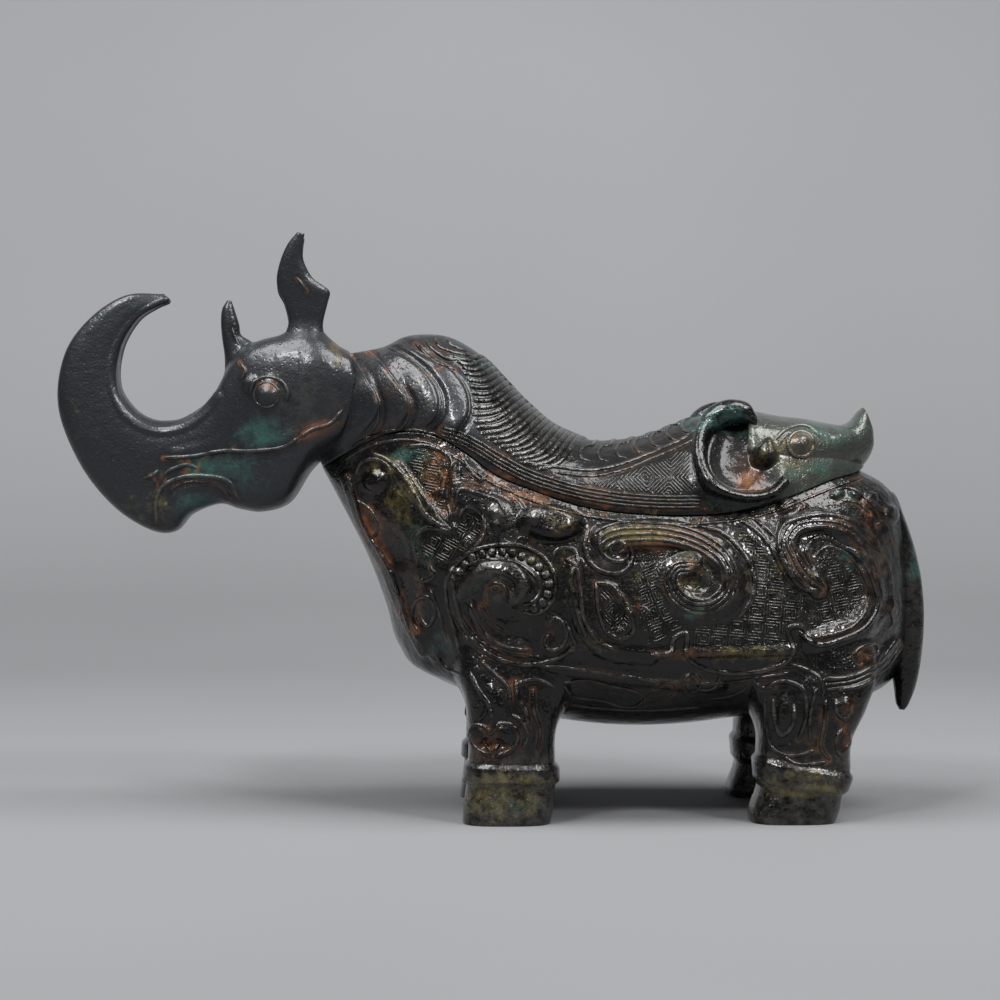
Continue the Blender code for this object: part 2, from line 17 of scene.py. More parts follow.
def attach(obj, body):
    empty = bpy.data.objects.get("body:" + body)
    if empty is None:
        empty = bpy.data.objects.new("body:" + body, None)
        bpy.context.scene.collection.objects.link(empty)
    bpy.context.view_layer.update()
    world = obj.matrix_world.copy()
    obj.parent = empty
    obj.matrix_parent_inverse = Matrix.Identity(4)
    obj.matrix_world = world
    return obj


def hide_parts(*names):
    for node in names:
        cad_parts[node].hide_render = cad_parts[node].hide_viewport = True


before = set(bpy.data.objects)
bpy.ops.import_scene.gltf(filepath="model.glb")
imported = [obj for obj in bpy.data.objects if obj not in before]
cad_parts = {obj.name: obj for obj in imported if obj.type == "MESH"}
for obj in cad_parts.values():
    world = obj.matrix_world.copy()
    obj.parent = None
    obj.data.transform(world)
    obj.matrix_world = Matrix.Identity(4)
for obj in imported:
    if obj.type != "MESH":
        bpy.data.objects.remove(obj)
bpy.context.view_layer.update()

# The photograph's camera: its place, the pixel of the far point straight along +Y, and its focal length
CAMERA_AT = (-0.0194, -0.860, 0.1223)
FAR_POINT_PX = (437.0, 455.0)
FOCAL_PX = 2483.0
PICTURE_PX = 1000.0
MM = 0.001

# Walls, and the gap under the lid, as in the frame
VESSEL_WALL = 0.003
LID_WALL = 0.003
LID_SEAT_GAP = 0.0003

# Widths of the hollow body
BODY_HALF_WIDTH = 0.049
MOUTH_HALF_WIDTH = 0.040
BULGE_LEVEL = 0.52
SPOUT_FULLNESS = 1.6
CHEST_FULLNESS = 3.0
REAR_FULLNESS = 2.6
ROOF_FULLNESS = 2.0

# Head, horn, ears, tail and legs
HEAD_HALF_WIDTH = 0.021
BROW_HORN_HALF_WIDTH = 0.0036
TAIL_HALF_WIDTH = 0.0062
LEG_HALF_WIDTH = 0.0135
LEG_INSET = 0.0035
LEG_BAND_SWELL = 0.0015
EAR_HALF_THICKNESS = 0.0026
EAR_BASE_SPREAD = 0.0085
EAR_LEAN = 0.06
EAR_TANG = 0.005
HORN_TANG = 0.006
MASK_EAR_HALF_WIDTH = 0.005
MASK_EAR_STAND = 0.001
MASK_EAR_TOP_LEVEL = 0.85

# Side profile, in metres: (x, z) points from the animal's left.
KEEL_LINE = [(-0.010, 0.041), (0.005, 0.035), (0.024, 0.031), (0.044, 0.029),
             (0.065, 0.0295), (0.085, 0.032), (0.108, 0.035), (0.128, 0.0375)]
RIM_LINE = [(-0.059, 0.118), (-0.048, 0.124), (-0.038, 0.1285), (-0.029, 0.130), (-0.020, 0.1285),
            (-0.011, 0.1235), (0.000, 0.1155), (0.012, 0.1105), (0.029, 0.105), (0.048, 0.1025),
            (0.065, 0.102), (0.082, 0.1035), (0.100, 0.1085), (0.115, 0.114), (0.1275, 0.117)]
CHEST_LINE = [(-0.010, 0.041), (-0.019, 0.045), (-0.0275, 0.0495), (-0.032, 0.0555),
              (-0.037, 0.071), (-0.043, 0.087), (-0.051, 0.103), (-0.059, 0.118)]
RUMP_LINE = [(0.128, 0.0375), (0.136, 0.042), (0.140, 0.049), (0.1423, 0.060), (0.1428, 0.073),
             (0.142, 0.087), (0.1405, 0.100), (0.139, 0.107), (0.134, 0.1135), (0.1275, 0.117)]
RIDGE_LINE = [(-0.052, 0.157), (-0.046, 0.158), (-0.037, 0.160), (-0.031, 0.163), (-0.0235, 0.164),
              (-0.015, 0.163), (-0.008, 0.1595), (-0.001, 0.154), (0.006, 0.1465), (0.013, 0.1395),
              (0.020, 0.1335), (0.027, 0.130), (0.034, 0.1275), (0.041, 0.1275), (0.051, 0.129),
              (0.060, 0.132), (0.068, 0.135), (0.076, 0.136), (0.085, 0.134), (0.098, 0.129), (0.112, 0.122)]
# Front of the neck and rear of the lid: (level from rim to ridge, x)
NECK_FRONT = [(0.0, -0.059), (0.5, -0.066), (1.0, -0.052)]
LID_REAR = [(0.0, 0.1275), (0.5, 0.125), (1.0, 0.112)]

# Cast relief on the flanks, seen from the side.
# Bosses: (x, z) of the middle, half length, half height, rise.
FLANK_BOSSES = [(0.0029, 0.0765, 0.0175, 0.0155, 0.0024), (0.0179, 0.0997, 0.0124, 0.0068, 0.0024),
                (0.0687, 0.0814, 0.0150, 0.0138, 0.0022), (0.0372, 0.0909, 0.0085, 0.0082, 0.0014),
                (-0.0330, 0.1010, 0.0090, 0.0130, 0.0012)]
# Ribbons: half width, rise, (x, z) points along the middle.
FLANK_RIBBONS = [(0.0050, 0.0016, [(0.0353, 0.0951), (0.0589, 0.0961), (0.0716, 0.0919)]),
                 (0.0045, 0.0020, [(0.1067, 0.0781), (0.0995, 0.0840), (0.0952, 0.0919), (0.0978, 0.0984),
                                   (0.1073, 0.1010), (0.1178, 0.0977), (0.1247, 0.0879), (0.1273, 0.0748),
                                   (0.1217, 0.0656), (0.1053, 0.0604)])]
RELIEF_FLAT = 0.45

# Overlapping folds of the neck: (z, x) of the front edge of the first fold and of the rear edge of the last.
FIRST_FOLD = [(0.1273, -0.0568), (0.1330, -0.0508), (0.1377, -0.0485), (0.1439, -0.0491),
              (0.1554, -0.0536), (0.1631, -0.0564)]
LAST_FOLD = [(0.1300, -0.0124), (0.1356, -0.0084), (0.1434, -0.0087), (0.1526, -0.0153), (0.1621, -0.0315)]
NECK_FOLDS = 4
NECK_FOLD_RISE = 0.0018
NECK_FOLD_EDGE = 0.82
NECK_FOLD_FADE = 0.16

# Rungs: (x, z) of one edge, (x, z) of the other edge, share of the piece's half width.
# The rear mask's half width is the mouth's.
HEAD_RUNGS = [(-0.0505, 0.1580, -0.0550, 0.1245, 0.90), (-0.0605, 0.1645, -0.0630, 0.1165, 1.00),
              (-0.0725, 0.1635, -0.0700, 0.1060, 0.98), (-0.0830, 0.1605, -0.0790, 0.1028, 0.88),
              (-0.0900, 0.1540, -0.0870, 0.1037, 0.76), (-0.0970, 0.1420, -0.0940, 0.1055, 0.67),
              (-0.1060, 0.1355, -0.1035, 0.1020, 0.60), (-0.1130, 0.1342, -0.1095, 0.0960, 0.56),
              (-0.1185, 0.1352, -0.1180, 0.0965, 0.53), (-0.1235, 0.1385, -0.1305, 0.1045, 0.50),
              (-0.1280, 0.1450, -0.1420, 0.1190, 0.46), (-0.1290, 0.1525, -0.1495, 0.1385, 0.41),
              (-0.1272, 0.1610, -0.1475, 0.1565, 0.36), (-0.1222, 0.1690, -0.1390, 0.1690, 0.31),
              (-0.1165, 0.1730, -0.1265, 0.1772, 0.25), (-0.1115, 0.1752, -0.1135, 0.1778, 0.12)]
EAR_RUNGS = [(-0.0702, 0.1640, -0.0590, 0.1640, 1.15), (-0.0702, 0.1691, -0.0580, 0.1691, 1.1),
             (-0.0716, 0.1747, -0.0566, 0.1747, 1.0), (-0.0737, 0.1788, -0.0562, 0.1785, 0.95),
             (-0.0740, 0.1834, -0.0617, 0.1827, 0.85), (-0.0726, 0.1892, -0.0648, 0.1885, 0.75),
             (-0.0702, 0.1944, -0.0650, 0.1937, 0.6), (-0.0670, 0.1982, -0.0645, 0.1977, 0.35)]
BROW_HORN_RUNGS = [(-0.0918, 0.1531, -0.0842, 0.1611, 1.00), (-0.0932, 0.1604, -0.0870, 0.1639, 0.86),
                   (-0.0939, 0.1673, -0.0876, 0.1673, 0.75), (-0.0935, 0.1725, -0.0890, 0.1718, 0.56),
                   (-0.0917, 0.1757, -0.0902, 0.1754, 0.25)]
TAIL_RUNGS = [(0.1310, 0.1010, 0.1390, 0.1085, 0.97), (0.1370, 0.0910, 0.1452, 0.0945, 1.00),
              (0.1395, 0.0790, 0.1488, 0.0805, 1.00), (0.1400, 0.0670, 0.1500, 0.0670, 0.94),
              (0.1400, 0.0555, 0.1494, 0.0545, 0.84), (0.1398, 0.0450, 0.1477, 0.0436, 0.71),
              (0.1402, 0.0370, 0.1450, 0.0360, 0.45), (0.1415, 0.0338, 0.1434, 0.0336, 0.23)]
# The mask's brow and snout stand up to 2 mm higher than the frame's, as the photograph shows them.
MASK_RUNGS = [(0.0865, 0.1372, 0.0865, 0.1130, 0.67), (0.0977, 0.1356, 0.0977, 0.1135, 0.66),
              (0.1065, 0.1350, 0.1065, 0.1160, 0.60), (0.1150, 0.1334, 0.1150, 0.1180, 0.50),
              (0.1206, 0.1328, 0.1222, 0.1195, 0.39), (0.1240, 0.1340, 0.1280, 0.1205, 0.30),
              (0.1266, 0.1372, 0.1316, 0.1245, 0.22), (0.1284, 0.1388, 0.1320, 0.1290, 0.15)]
MASK_EAR_RUNGS = [(0.0884, 0.1317, 0.0887, 0.1347), (0.0844, 0.1343, 0.0854, 0.1387),
                  (0.0793, 0.1337, 0.0783, 0.1394), (0.0740, 0.1297, 0.0713, 0.1353),
                  (0.0706, 0.1230, 0.0666, 0.1250), (0.0713, 0.1163, 0.0680, 0.1136),
                  (0.0767, 0.1115, 0.0740, 0.1088), (0.0844, 0.1098, 0.0835, 0.1068),
                  (0.0914, 0.1112, 0.0924, 0.1083), (0.0964, 0.1155, 0.0984, 0.1130)]
# Leg rungs: (x, z) of the front edge, (x, z) of the back edge, share of the leg's half width,
# and how far the rung is tucked in, so that the shoulder and the haunch die into the flank.
FRONT_LEG_RUNGS = [
    (-0.0110, 0.0, 0.0185, 0.0, 1.0, 0.0), (-0.0105, 0.006, 0.0195, 0.006, 1.0, 0.0),
    (-0.0095, 0.0135, 0.0200, 0.0128, 0.96, 0.0), (-0.0090, 0.0205, 0.0200, 0.0198, 0.96, 0.0),
    (-0.0090, 0.030, 0.0200, 0.029, 1.0, 0.0), (-0.0100, 0.040, 0.0220, 0.038, 1.0, 0.0),
    (-0.0120, 0.050, 0.0250, 0.049, 0.98, 0.0016), (-0.0090, 0.060, 0.0270, 0.060, 0.92, 0.0055),
    (-0.0020, 0.071, 0.0260, 0.071, 0.75, 0.0140)]
REAR_LEG_RUNGS = [
    (0.0850, 0.0, 0.1135, 0.0, 0.96, 0.0), (0.0852, 0.004, 0.1150, 0.004, 0.96, 0.0),
    (0.0880, 0.0125, 0.1160, 0.009, 0.94, 0.0), (0.0875, 0.0225, 0.1185, 0.0165, 0.96, 0.0),
    (0.0878, 0.030, 0.1190, 0.027, 0.98, 0.0), (0.0870, 0.038, 0.1240, 0.038, 1.0, 0.0),
    (0.0850, 0.048, 0.1275, 0.049, 0.98, 0.0016), (0.0850, 0.060, 0.1245, 0.060, 0.92, 0.0055),
    (0.0880, 0.071, 0.1170, 0.071, 0.75, 0.0140)]
LEG_BAND_AT = 2.5
LEG_BAND_SPAN = 0.55
LEG_BAND_FLAT = 0.5

# How square a section is: 2 is an ellipse
HEAD_SQUARENESS = 2.4
HEAD_SKIN_SQUARENESS = 3.6
LEG_SQUARENESS = 3.2
PLATE_SQUARENESS = 2.2


def through(knots, at):
    """Smooth curve through knots of (place, value, ...), read at the given places."""
    knots = np.asarray(knots, float)
    place, value = knots[:, 0], knots[:, 1:]
    slope = np.gradient(value, place, axis=0)
    at = np.clip(np.asarray(at, float), place[0], place[-1])
    i = np.clip(np.searchsorted(place, at) - 1, 0, len(place) - 2)
    step = (place[i + 1] - place[i])[..., None]
    f = ((at - place[i]) / (place[i + 1] - place[i]))[..., None]
    start = (1 + 2 * f) * (1 - f) ** 2 * value[i] + f * (1 - f) ** 2 * step * slope[i]
    end = f * f * (3 - 2 * f) * value[i + 1] + f * f * (f - 1) * step * slope[i + 1]
    return start + end


def height_at(line, share):
    """Height of a profile line at a share of its length along X."""
    line = np.asarray(line)
    x = line[0, 0] + (line[-1, 0] - line[0, 0]) * np.asarray(share, float)
    return through(line, x)[..., 0]


def reach_at(line, height):
    """X of an upright profile line at a height."""
    flipped = np.asarray(line)[:, ::-1]
    return through(flipped, height)[..., 0]


def plan(share, front_fullness=SPOUT_FULLNESS):
    """Half width along the body, 1 at the middle and 0 at both ends."""
    off = 2 * np.asarray(share, float) - 1
    power = np.where(off < 0, front_fullness, REAR_FULLNESS)
    return np.sqrt(np.maximum(0.0, 1 - np.abs(off) ** power))


def soft_step(low, high, value):
    """Rises smoothly from 0 at low to 1 at high."""
    f = np.clip((value - low) / (high - low), 0, 1)
    return f * f * (3 - 2 * f)


def line_distance(x, z, line):
    """Distance from places to a line of straight runs, seen from the side."""
    best = np.full(len(x), np.inf)
    for (x1, z1), (x2, z2) in zip(line, line[1:]):
        run = np.array([x2 - x1, z2 - z1])
        f = np.clip(((x - x1) * run[0] + (z - z1) * run[1]) / (run @ run), 0, 1)
        best = np.minimum(best, np.hypot(x - x1 - f * run[0], z - z1 - f * run[1]))
    return best


def flank_rise(x, z):
    """How far the cast relief stands out of the flank at places seen from the side."""
    rise = np.zeros(len(x))
    for middle_x, middle_z, half_length, half_height, top in FLANK_BOSSES:
        off = np.hypot((x - middle_x) / half_length, (z - middle_z) / half_height)
        rise = np.maximum(rise, top * (1 - soft_step(RELIEF_FLAT, 1.0, off)))
    for half_width, top, line in FLANK_RIBBONS:
        off = line_distance(x, z, line) / half_width
        rise = np.maximum(rise, top * (1 - soft_step(RELIEF_FLAT, 1.0, off)))
    return rise


def neck_rise(x, z):
    """How far the folds of the neck stand out: each swells towards its rear edge and drops to the next."""
    first, last = through(FIRST_FOLD, z)[..., 0], through(LAST_FOLD, z)[..., 0]
    place = (x - first) / (last - first) * NECK_FOLDS
    across = place - np.floor(place)
    pillow = (1 - (1 - across) ** 2) * (1 - soft_step(NECK_FOLD_EDGE, 1.0, across))
    return NECK_FOLD_RISE * np.where((place >= 0) & (place < NECK_FOLDS), pillow, 0.0)


def vessel_half_width(share, level):
    """Half width of the vessel: fullest at the bulge, with the chest narrowing up to the spout."""
    below = BODY_HALF_WIDTH * math.sqrt(max(0.0, 1 - (1 - min(level / BULGE_LEVEL, 1.0)) ** 2))
    above = max(0.0, (level - BULGE_LEVEL) / (1 - BULGE_LEVEL))
    widest = below - (BODY_HALF_WIDTH - MOUTH_HALF_WIDTH) * above ** 2
    return widest * plan(share, CHEST_FULLNESS + (SPOUT_FULLNESS - CHEST_FULLNESS) * above)


def vessel_points(share, level):
    """(x, half width, z) on the outside of the vessel; level runs from keel to rim."""
    z = (1 - level) * height_at(KEEL_LINE, share) + level * height_at(RIM_LINE, share)
    ends = (1 - level) * height_at(KEEL_LINE, [0, 1]) + level * height_at(RIM_LINE, [0, 1])
    front, rear = reach_at(CHEST_LINE, ends[0]), reach_at(RUMP_LINE, ends[1])
    x = front + (rear - front) * share
    return x, vessel_half_width(share, level) + flank_rise(x, z), z


def lid_points(share, level):
    """(x, half width, z) on the outside of the lid; level runs from rim to ridge."""
    seat = height_at(RIM_LINE, share) + LID_SEAT_GAP
    z = (1 - level) * seat + level * height_at(RIDGE_LINE, share)
    front, rear = through(NECK_FRONT, level)[0], through(LID_REAR, level)[0]
    x = front + (rear - front) * share
    roof = max(0.0, 1 - level ** ROOF_FULLNESS) ** (1 / ROOF_FULLNESS)
    folds = neck_rise(x, z) * soft_step(0.0, NECK_FOLD_FADE, level)
    return x, (MOUTH_HALF_WIDTH * plan(share) + folds) * roof, z


def ring_of(x, half_width, z):
    """A closed ring: along the left side from front to rear, and back along the right side."""
    left = np.stack([x, -half_width, z], axis=1)
    right = np.stack([x, half_width, z], axis=1)[-2:0:-1]
    return np.concatenate([left, right])


def sized(rungs, half_width):
    """The rungs with their share of the half width made a size."""
    return [(*rung[:4], half_width * rung[4]) for rung in rungs]


def rung_rings(rungs, steps, sides, squareness):
    """Rings across a run of rungs, each a rounded section between the rung's two edges.

    A rung is (x, z) of one edge, (x, z) of the other, the half width and, if it isn't 0, the centre's Y.
    """
    rungs = np.array([(*rung, 0.0)[:6] for rung in rungs])
    knots = np.column_stack([np.arange(len(rungs)), rungs])
    stops = np.linspace(0, len(rungs) - 1, (len(rungs) - 1) * steps + 1)
    angles = np.linspace(0, 2 * math.pi, sides, endpoint=False)
    along = np.sign(np.cos(angles)) * np.abs(np.cos(angles)) ** (2 / squareness)
    across = np.sign(np.sin(angles)) * np.abs(np.sin(angles)) ** (2 / squareness)
    across[0] = across[sides // 2] = 0.0
    rings = []
    for x1, z1, x2, z2, half, centre in through(knots, stops):
        x = (x1 + x2) / 2 + along * (x1 - x2) / 2
        z = (z1 + z2) / 2 + along * (z1 - z2) / 2
        rings.append(np.stack([x, centre - across * half, z], axis=1))
    return rings


def lid_side_at(x, z):
    """Half width of the lid's outside at a place seen from the side."""
    share = (x - RIM_LINE[0][0]) / (RIM_LINE[-1][0] - RIM_LINE[0][0])
    seat = height_at(RIM_LINE, share)
    ridge = through(RIDGE_LINE, x)[0]
    level = min(max((z - seat) / (ridge - seat), 0.0), MASK_EAR_TOP_LEVEL)
    return MOUTH_HALF_WIDTH * float(plan(share)) * (1 - level ** ROOF_FULLNESS) ** (1 / ROOF_FULLNESS)


def with_tang(rungs, length):
    """The rungs with one more below the first, so that the piece has a tang to braze in."""
    x1, z1, x2, z2, half = rungs[0]
    nx1, nz1, nx2, nz2 = rungs[1][:4]
    run = np.array([(x1 + x2) - (nx1 + nx2), (z1 + z2) - (nz1 + nz2)])
    dx, dz = run / np.linalg.norm(run) * length
    return [(x1 + dx, z1 + dz, x2 + dx, z2 + dz, half)] + rungs


# Points of a ring in the photograph, which close it a little past a full turn
RING_POINTS = 20
RING_POINTS_IN_A_RADIAN = 3


def ring_px(u, v, radius):
    """Points round a ring in the photograph."""
    turns = [number / RING_POINTS_IN_A_RADIAN for number in range(RING_POINTS)]
    return [(u + radius * math.cos(turn), v + radius * math.sin(turn)) for turn in turns]


def beside(line, shift):
    """A line in the photograph, moved sideways."""
    return [(u + shift, v) for u, v in line]


# Fineness of the vessel's skin: stations along, levels below and above the bulge, levels inside
VESSEL_FINENESS = (300, 56, 85, 10)
# Fineness of the lid's skin: stations along, levels outside, levels inside
LID_FINENESS = (300, 96, 8)
# How much closer together the stations are at both ends
END_CLOSENESS = 0.4
# Fineness of the skins over rungs: sides, least steps between rungs, length of a step
SKIN_SIDES = 128
SMALL_SKIN_SIDES = 56
LEAST_SKIN_STEPS = 4
LEG_SKIN_STEPS = 16
SKIN_STEP = 0.0007

# The line under the seam between lid and vessel
UNDER_SEAM_PX = [(345, 460), (365, 448), (385, 442), (405, 440), (430, 444), (450, 454), (470, 468),
                 (490, 482), (520, 496), (550, 507), (580, 515), (620, 521), (660, 524), (700, 524),
                 (740, 520), (780, 510), (810, 498), (840, 486), (862, 478)]
UNDER_SEAM_RADIUS = 0.7 * MM

# Broad forms on the flank: (centre, half axes, turn in degrees, rise in millimetres)
FLANK_DOMES_PX = [
    ((535, 517), (10, 10), 0, 1.2), ((552, 523), (36, 19), 6, 2.2), ((499, 590), (42, 38), 0, 2.4),
    ((497, 594), (10, 12), 0, 1.4), ((500, 518), (13, 16), 0, 1.0), ((375, 481), (13, 13), 0, 1.8),
    ((694, 583), (16, 11), 25, -1.8), ((396, 548), (14, 26), -20, -1.0), ((471, 523), (12, 22), 10, -1.2),
    ((616, 617), (14, 18), -15, -1.0), ((846, 592), (22, 34), -15, -1.4), ((642, 556), (26, 7), 0, -1.4),
    ((724, 560), (16, 30), -25, 0.9), ((490, 706), (26, 20), 0, 0.8), ((800, 720), (24, 26), 0, 0.8),
    ((788, 507), (11, 10), 0, 1.6), ((804, 508), (7, 6), 0, 1.2), ((838, 494), (8, 6), -20, 1.2),
    ((856, 493), (9, 7), 30, 1.3), ((872, 500), (8, 10), 30, 1.2), ((840, 513), (5, 4), 0, 1.0),
    ((893, 515), (9, 13), -20, 1.4), ((894, 610), (8, 13), 10, 1.2), ((918, 572), (6, 14), 0, 1.2),
    ((430, 594), (10, 8), 30, 1.4), ((424, 632), (9, 9), 0, 1.4), ((436, 655), (9, 7), 0, 1.2)]
# Broad bands on the flank: (line, half width in pixels, rise in millimetres)
FLANK_BANDS_PX = [
    ([(464, 594), (470, 580), (482, 571), (502, 568), (518, 576), (524, 588), (516, 598)], 7, 2.2),
    ([(478, 610), (484, 628), (500, 642), (524, 650)], 8, 1.8),
    ([(604, 538), (640, 533), (676, 535), (708, 546), (734, 570), (736, 600), (700, 612), (672, 594),
      (670, 572), (690, 562)], 13, 1.0),
    ([(822, 590), (800, 572), (787, 548), (795, 528), (824, 520), (856, 530), (877, 560), (885, 600),
      (868, 628), (818, 644)], 10, 0.8),
    ([(398, 470), (424, 503), (450, 529)], 8, 1.6),
    ([(652, 655), (672, 653)], 5, 1.6),
    ([(687, 653), (795, 651)], 5, 1.8),
    ([(455, 463), (453, 518)], 4, 1.4),
    ([(461, 492), (500, 507)], 12, 1.4),
    ([(500, 500), (515, 520), (512, 540)], 14, 1.2),
    ([(453, 575), (458, 606), (474, 640), (510, 662), (560, 668), (612, 676), (720, 686)], 7, 1.3),
    ([(575, 565), (583, 626), (600, 648), (650, 658)], 8, 1.3),
    ([(606, 586), (618, 634), (630, 622), (612, 588)], 5, 1.0),
    ([(552, 622), (566, 634), (554, 648)], 8, 1.2),
    ([(745, 522), (772, 552), (796, 590)], 9, 1.0),
    ([(826, 684), (864, 676), (898, 646)], 8, 1.2),
    ([(347, 478), (367, 532), (387, 568), (404, 612), (424, 650)], 6, 1.4)]

# Raised threads on the flank: (line, radius in millimetres)
FLANK_THREADS_PX = [
    ([(460, 655), (451, 571), (473, 551), (494, 546), (523, 546), (546, 560), (556, 581), (551, 603),
      (537, 614), (521, 612)], 0.8),
    ([(457, 583), (469, 565), (487, 560), (514, 562), (532, 574), (541, 589), (535, 601), (521, 606)], 0.75),
    ([(486, 602), (487, 590), (495, 583), (504, 586), (507, 597)], 0.5),
    ([(451, 574), (457, 603), (466, 631), (491, 655), (510, 663), (559, 658), (576, 647)], 0.9),
    ([(469, 600), (476, 621), (487, 637), (505, 647), (530, 651)], 0.7),
    ([(480, 605), (487, 617), (496, 626), (507, 633)], 0.6),
    ([(548, 624), (555, 618), (564, 624), (566, 639), (559, 649), (548, 650), (545, 640), (552, 634)], 0.7),
    ([(567, 626), (573, 638), (576, 647)], 0.7),
    ([(551, 562), (558, 549), (575, 551), (578, 564), (573, 571), (576, 603), (582, 626), (587, 640)], 0.8),
    ([(565, 560), (572, 562), (580, 585), (585, 621), (598, 640), (617, 651)], 0.8),
    ([(596, 583), (600, 615), (609, 635), (621, 640), (633, 633), (633, 619), (625, 606), (610, 585),
      (596, 583)], 0.8),
    ([(640, 606), (650, 612), (654, 628)], 0.7),
    ([(589, 528), (585, 546), (592, 565), (610, 574), (628, 569), (633, 556), (630, 544)], 0.85),
    ([(601, 531), (600, 546), (610, 560), (625, 560), (630, 553)], 0.75),
    ([(612, 556), (611, 548), (614, 543), (623, 542), (626, 549), (620, 553)], 0.65),
    ([(700, 574), (703, 583), (692, 591), (682, 586)], 0.6),
    ([(690, 526), (721, 532), (743, 552), (756, 581), (752, 602), (738, 619)], 0.9),
    ([(739, 519), (758, 532), (774, 551), (784, 571), (792, 584)], 0.8),
    ([(750, 516), (765, 527), (776, 537)], 0.8),
    ([(823, 592), (804, 589), (789, 568), (780, 547), (784, 527), (808, 517), (839, 516), (865, 527),
      (882, 550), (894, 581)], 0.9),
    ([(823, 587), (813, 564), (808, 551), (815, 540), (830, 538), (841, 545), (860, 556), (875, 581),
      (880, 607), (867, 629), (845, 640), (817, 645), (800, 632)], 0.9),
    ([(817, 557), (826, 548), (845, 552), (862, 569), (871, 590), (868, 611), (856, 626), (819, 639)], 0.7),
    ([(784, 508), (795, 501), (806, 506), (800, 512)], 0.7),
    ([(836, 490), (850, 488), (866, 497), (882, 514), (893, 540)], 0.7),
    ([(842, 500), (858, 503), (872, 514)], 0.6),
    ([(652, 655), (672, 653), (674, 640), (687, 634), (687, 653), (795, 651), (791, 628), (802, 627),
      (813, 641)], 0.9),
    ([(826, 680), (849, 679), (878, 666), (902, 638)], 0.8),
    ([(839, 692), (865, 686), (891, 666), (903, 648)], 0.8),
    ([(862, 665), (857, 655), (867, 647), (879, 645), (880, 654), (871, 658)], 0.7),
    ([(510, 664), (560, 668), (612, 675), (659, 682), (720, 684), (790, 674)], 0.6),
    ([(563, 684), (580, 681), (610, 686), (645, 700), (638, 706), (600, 701), (570, 694), (563, 684)], 0.6),
    ([(572, 706), (610, 710), (660, 711), (700, 708)], 0.5),
    (ring_px(693, 684, 9), 0.6),
    ([(655, 690), (668, 684), (676, 692), (668, 700)], 0.5),
    ([(712, 700), (735, 696), (752, 686)], 0.5),
    ([(357, 500), (372, 512), (378, 530), (368, 542)], 0.6),
    ([(392, 590), (402, 600), (400, 616)], 0.6),
    ([(884, 606), (892, 612), (894, 626), (886, 632)], 0.6),
    ([(866, 500), (880, 506), (886, 520), (878, 526)], 0.6),
    ([(690, 676), (700, 690), (716, 688), (722, 676)], 0.6),
    ([(752, 676), (762, 688), (776, 688)], 0.6),
    ([(371, 453), (387, 460), (402, 474), (414, 493), (426, 515), (451, 530)], 0.8),
    ([(400, 460), (412, 477), (426, 500), (442, 522), (451, 530)], 0.7),
    ([(451, 531), (422, 530), (415, 537), (418, 561), (422, 581), (434, 576), (430, 566)], 0.8),
    ([(405, 447), (428, 446), (451, 459), (447, 487), (451, 524)], 0.8),
    ([(453, 512), (461, 489), (479, 494), (500, 503), (505, 514)], 0.7),
    ([(457, 520), (467, 507), (480, 513), (485, 530), (471, 551), (452, 563)], 0.7),
    ([(461, 455), (470, 470), (482, 480), (487, 474)], 0.7),
    ([(356, 476), (360, 464), (374, 459), (388, 466), (392, 480)], 0.7),
    ([(347, 475), (367, 532), (387, 565), (402, 606), (409, 630)], 0.8),
    ([(418, 632), (412, 617), (416, 601), (426, 597), (435, 612), (427, 626), (420, 618)], 0.7),
    ([(430, 590), (436, 604), (447, 640)], 0.6),
    ([(436, 655), (446, 668), (462, 676)], 0.7),
    ([(505, 540), (513, 545), (520, 538), (533, 540)], 0.6)]
# Ribbons of parallel lines on the flank: (middle line, half width at its start and end, lines, radius)
FLANK_RIBBONS_PX = [
    ([(598, 543), (608, 536), (640, 531), (676, 534), (706, 545), (724, 560), (731, 580), (724, 598),
      (706, 607), (688, 604), (675, 592), (672, 579), (679, 569), (691, 568)], 9.5, 6.0, 4, 0.75),
    ([(824, 592), (806, 578), (793, 556), (788, 540), (796, 527), (820, 521), (848, 526), (872, 545),
      (887, 572)], 5.0, 6.5, 3, 0.75),
    ([(452, 600), (460, 622), (476, 642), (505, 657), (545, 661)], 3.5, 3.5, 2, 0.7),
    ([(828, 686), (856, 682), (884, 667), (903, 643)], 5.0, 4.0, 3, 0.7)]
# Fields of leiwen, the thunder pattern of square spirals, on the flank: (outline, turn)
FLANK_LEIWEN_PX = [
    ([(404, 452), (424, 449), (446, 462), (443, 488), (447, 519), (425, 495)], 0.2),
    ([(461, 520), (467, 511), (478, 516), (482, 530), (468, 549), (446, 563), (424, 560), (420, 538),
      (452, 534)], 0.5),
    ([(600, 592), (609, 590), (629, 616), (629, 633), (612, 634), (603, 615)], 0.8),
    ([(824, 556), (842, 558), (859, 574), (868, 592), (865, 611), (852, 623), (820, 635), (806, 622),
      (830, 598)], -0.2),
    ([(738, 524), (758, 540), (774, 562), (789, 588), (814, 598), (798, 622), (786, 626), (788, 646),
      (694, 647), (694, 628), (742, 620), (758, 592), (757, 570), (745, 548)], 0.1),
    ([(640, 548), (684, 552), (664, 562), (658, 586), (668, 608), (684, 628), (648, 648), (640, 620)], -0.4),
    ([(462, 462), (474, 472), (487, 477), (484, 484), (470, 478)], 0.5)]
# The row of scales round the boss of the shoulder
FLANK_SCALES_PX = [
    (460, 572), (473, 558), (490, 553), (514, 554), (538, 566), (549, 584), (545, 600), (533, 609)]
FLANK_SCALE_COUNT = 15

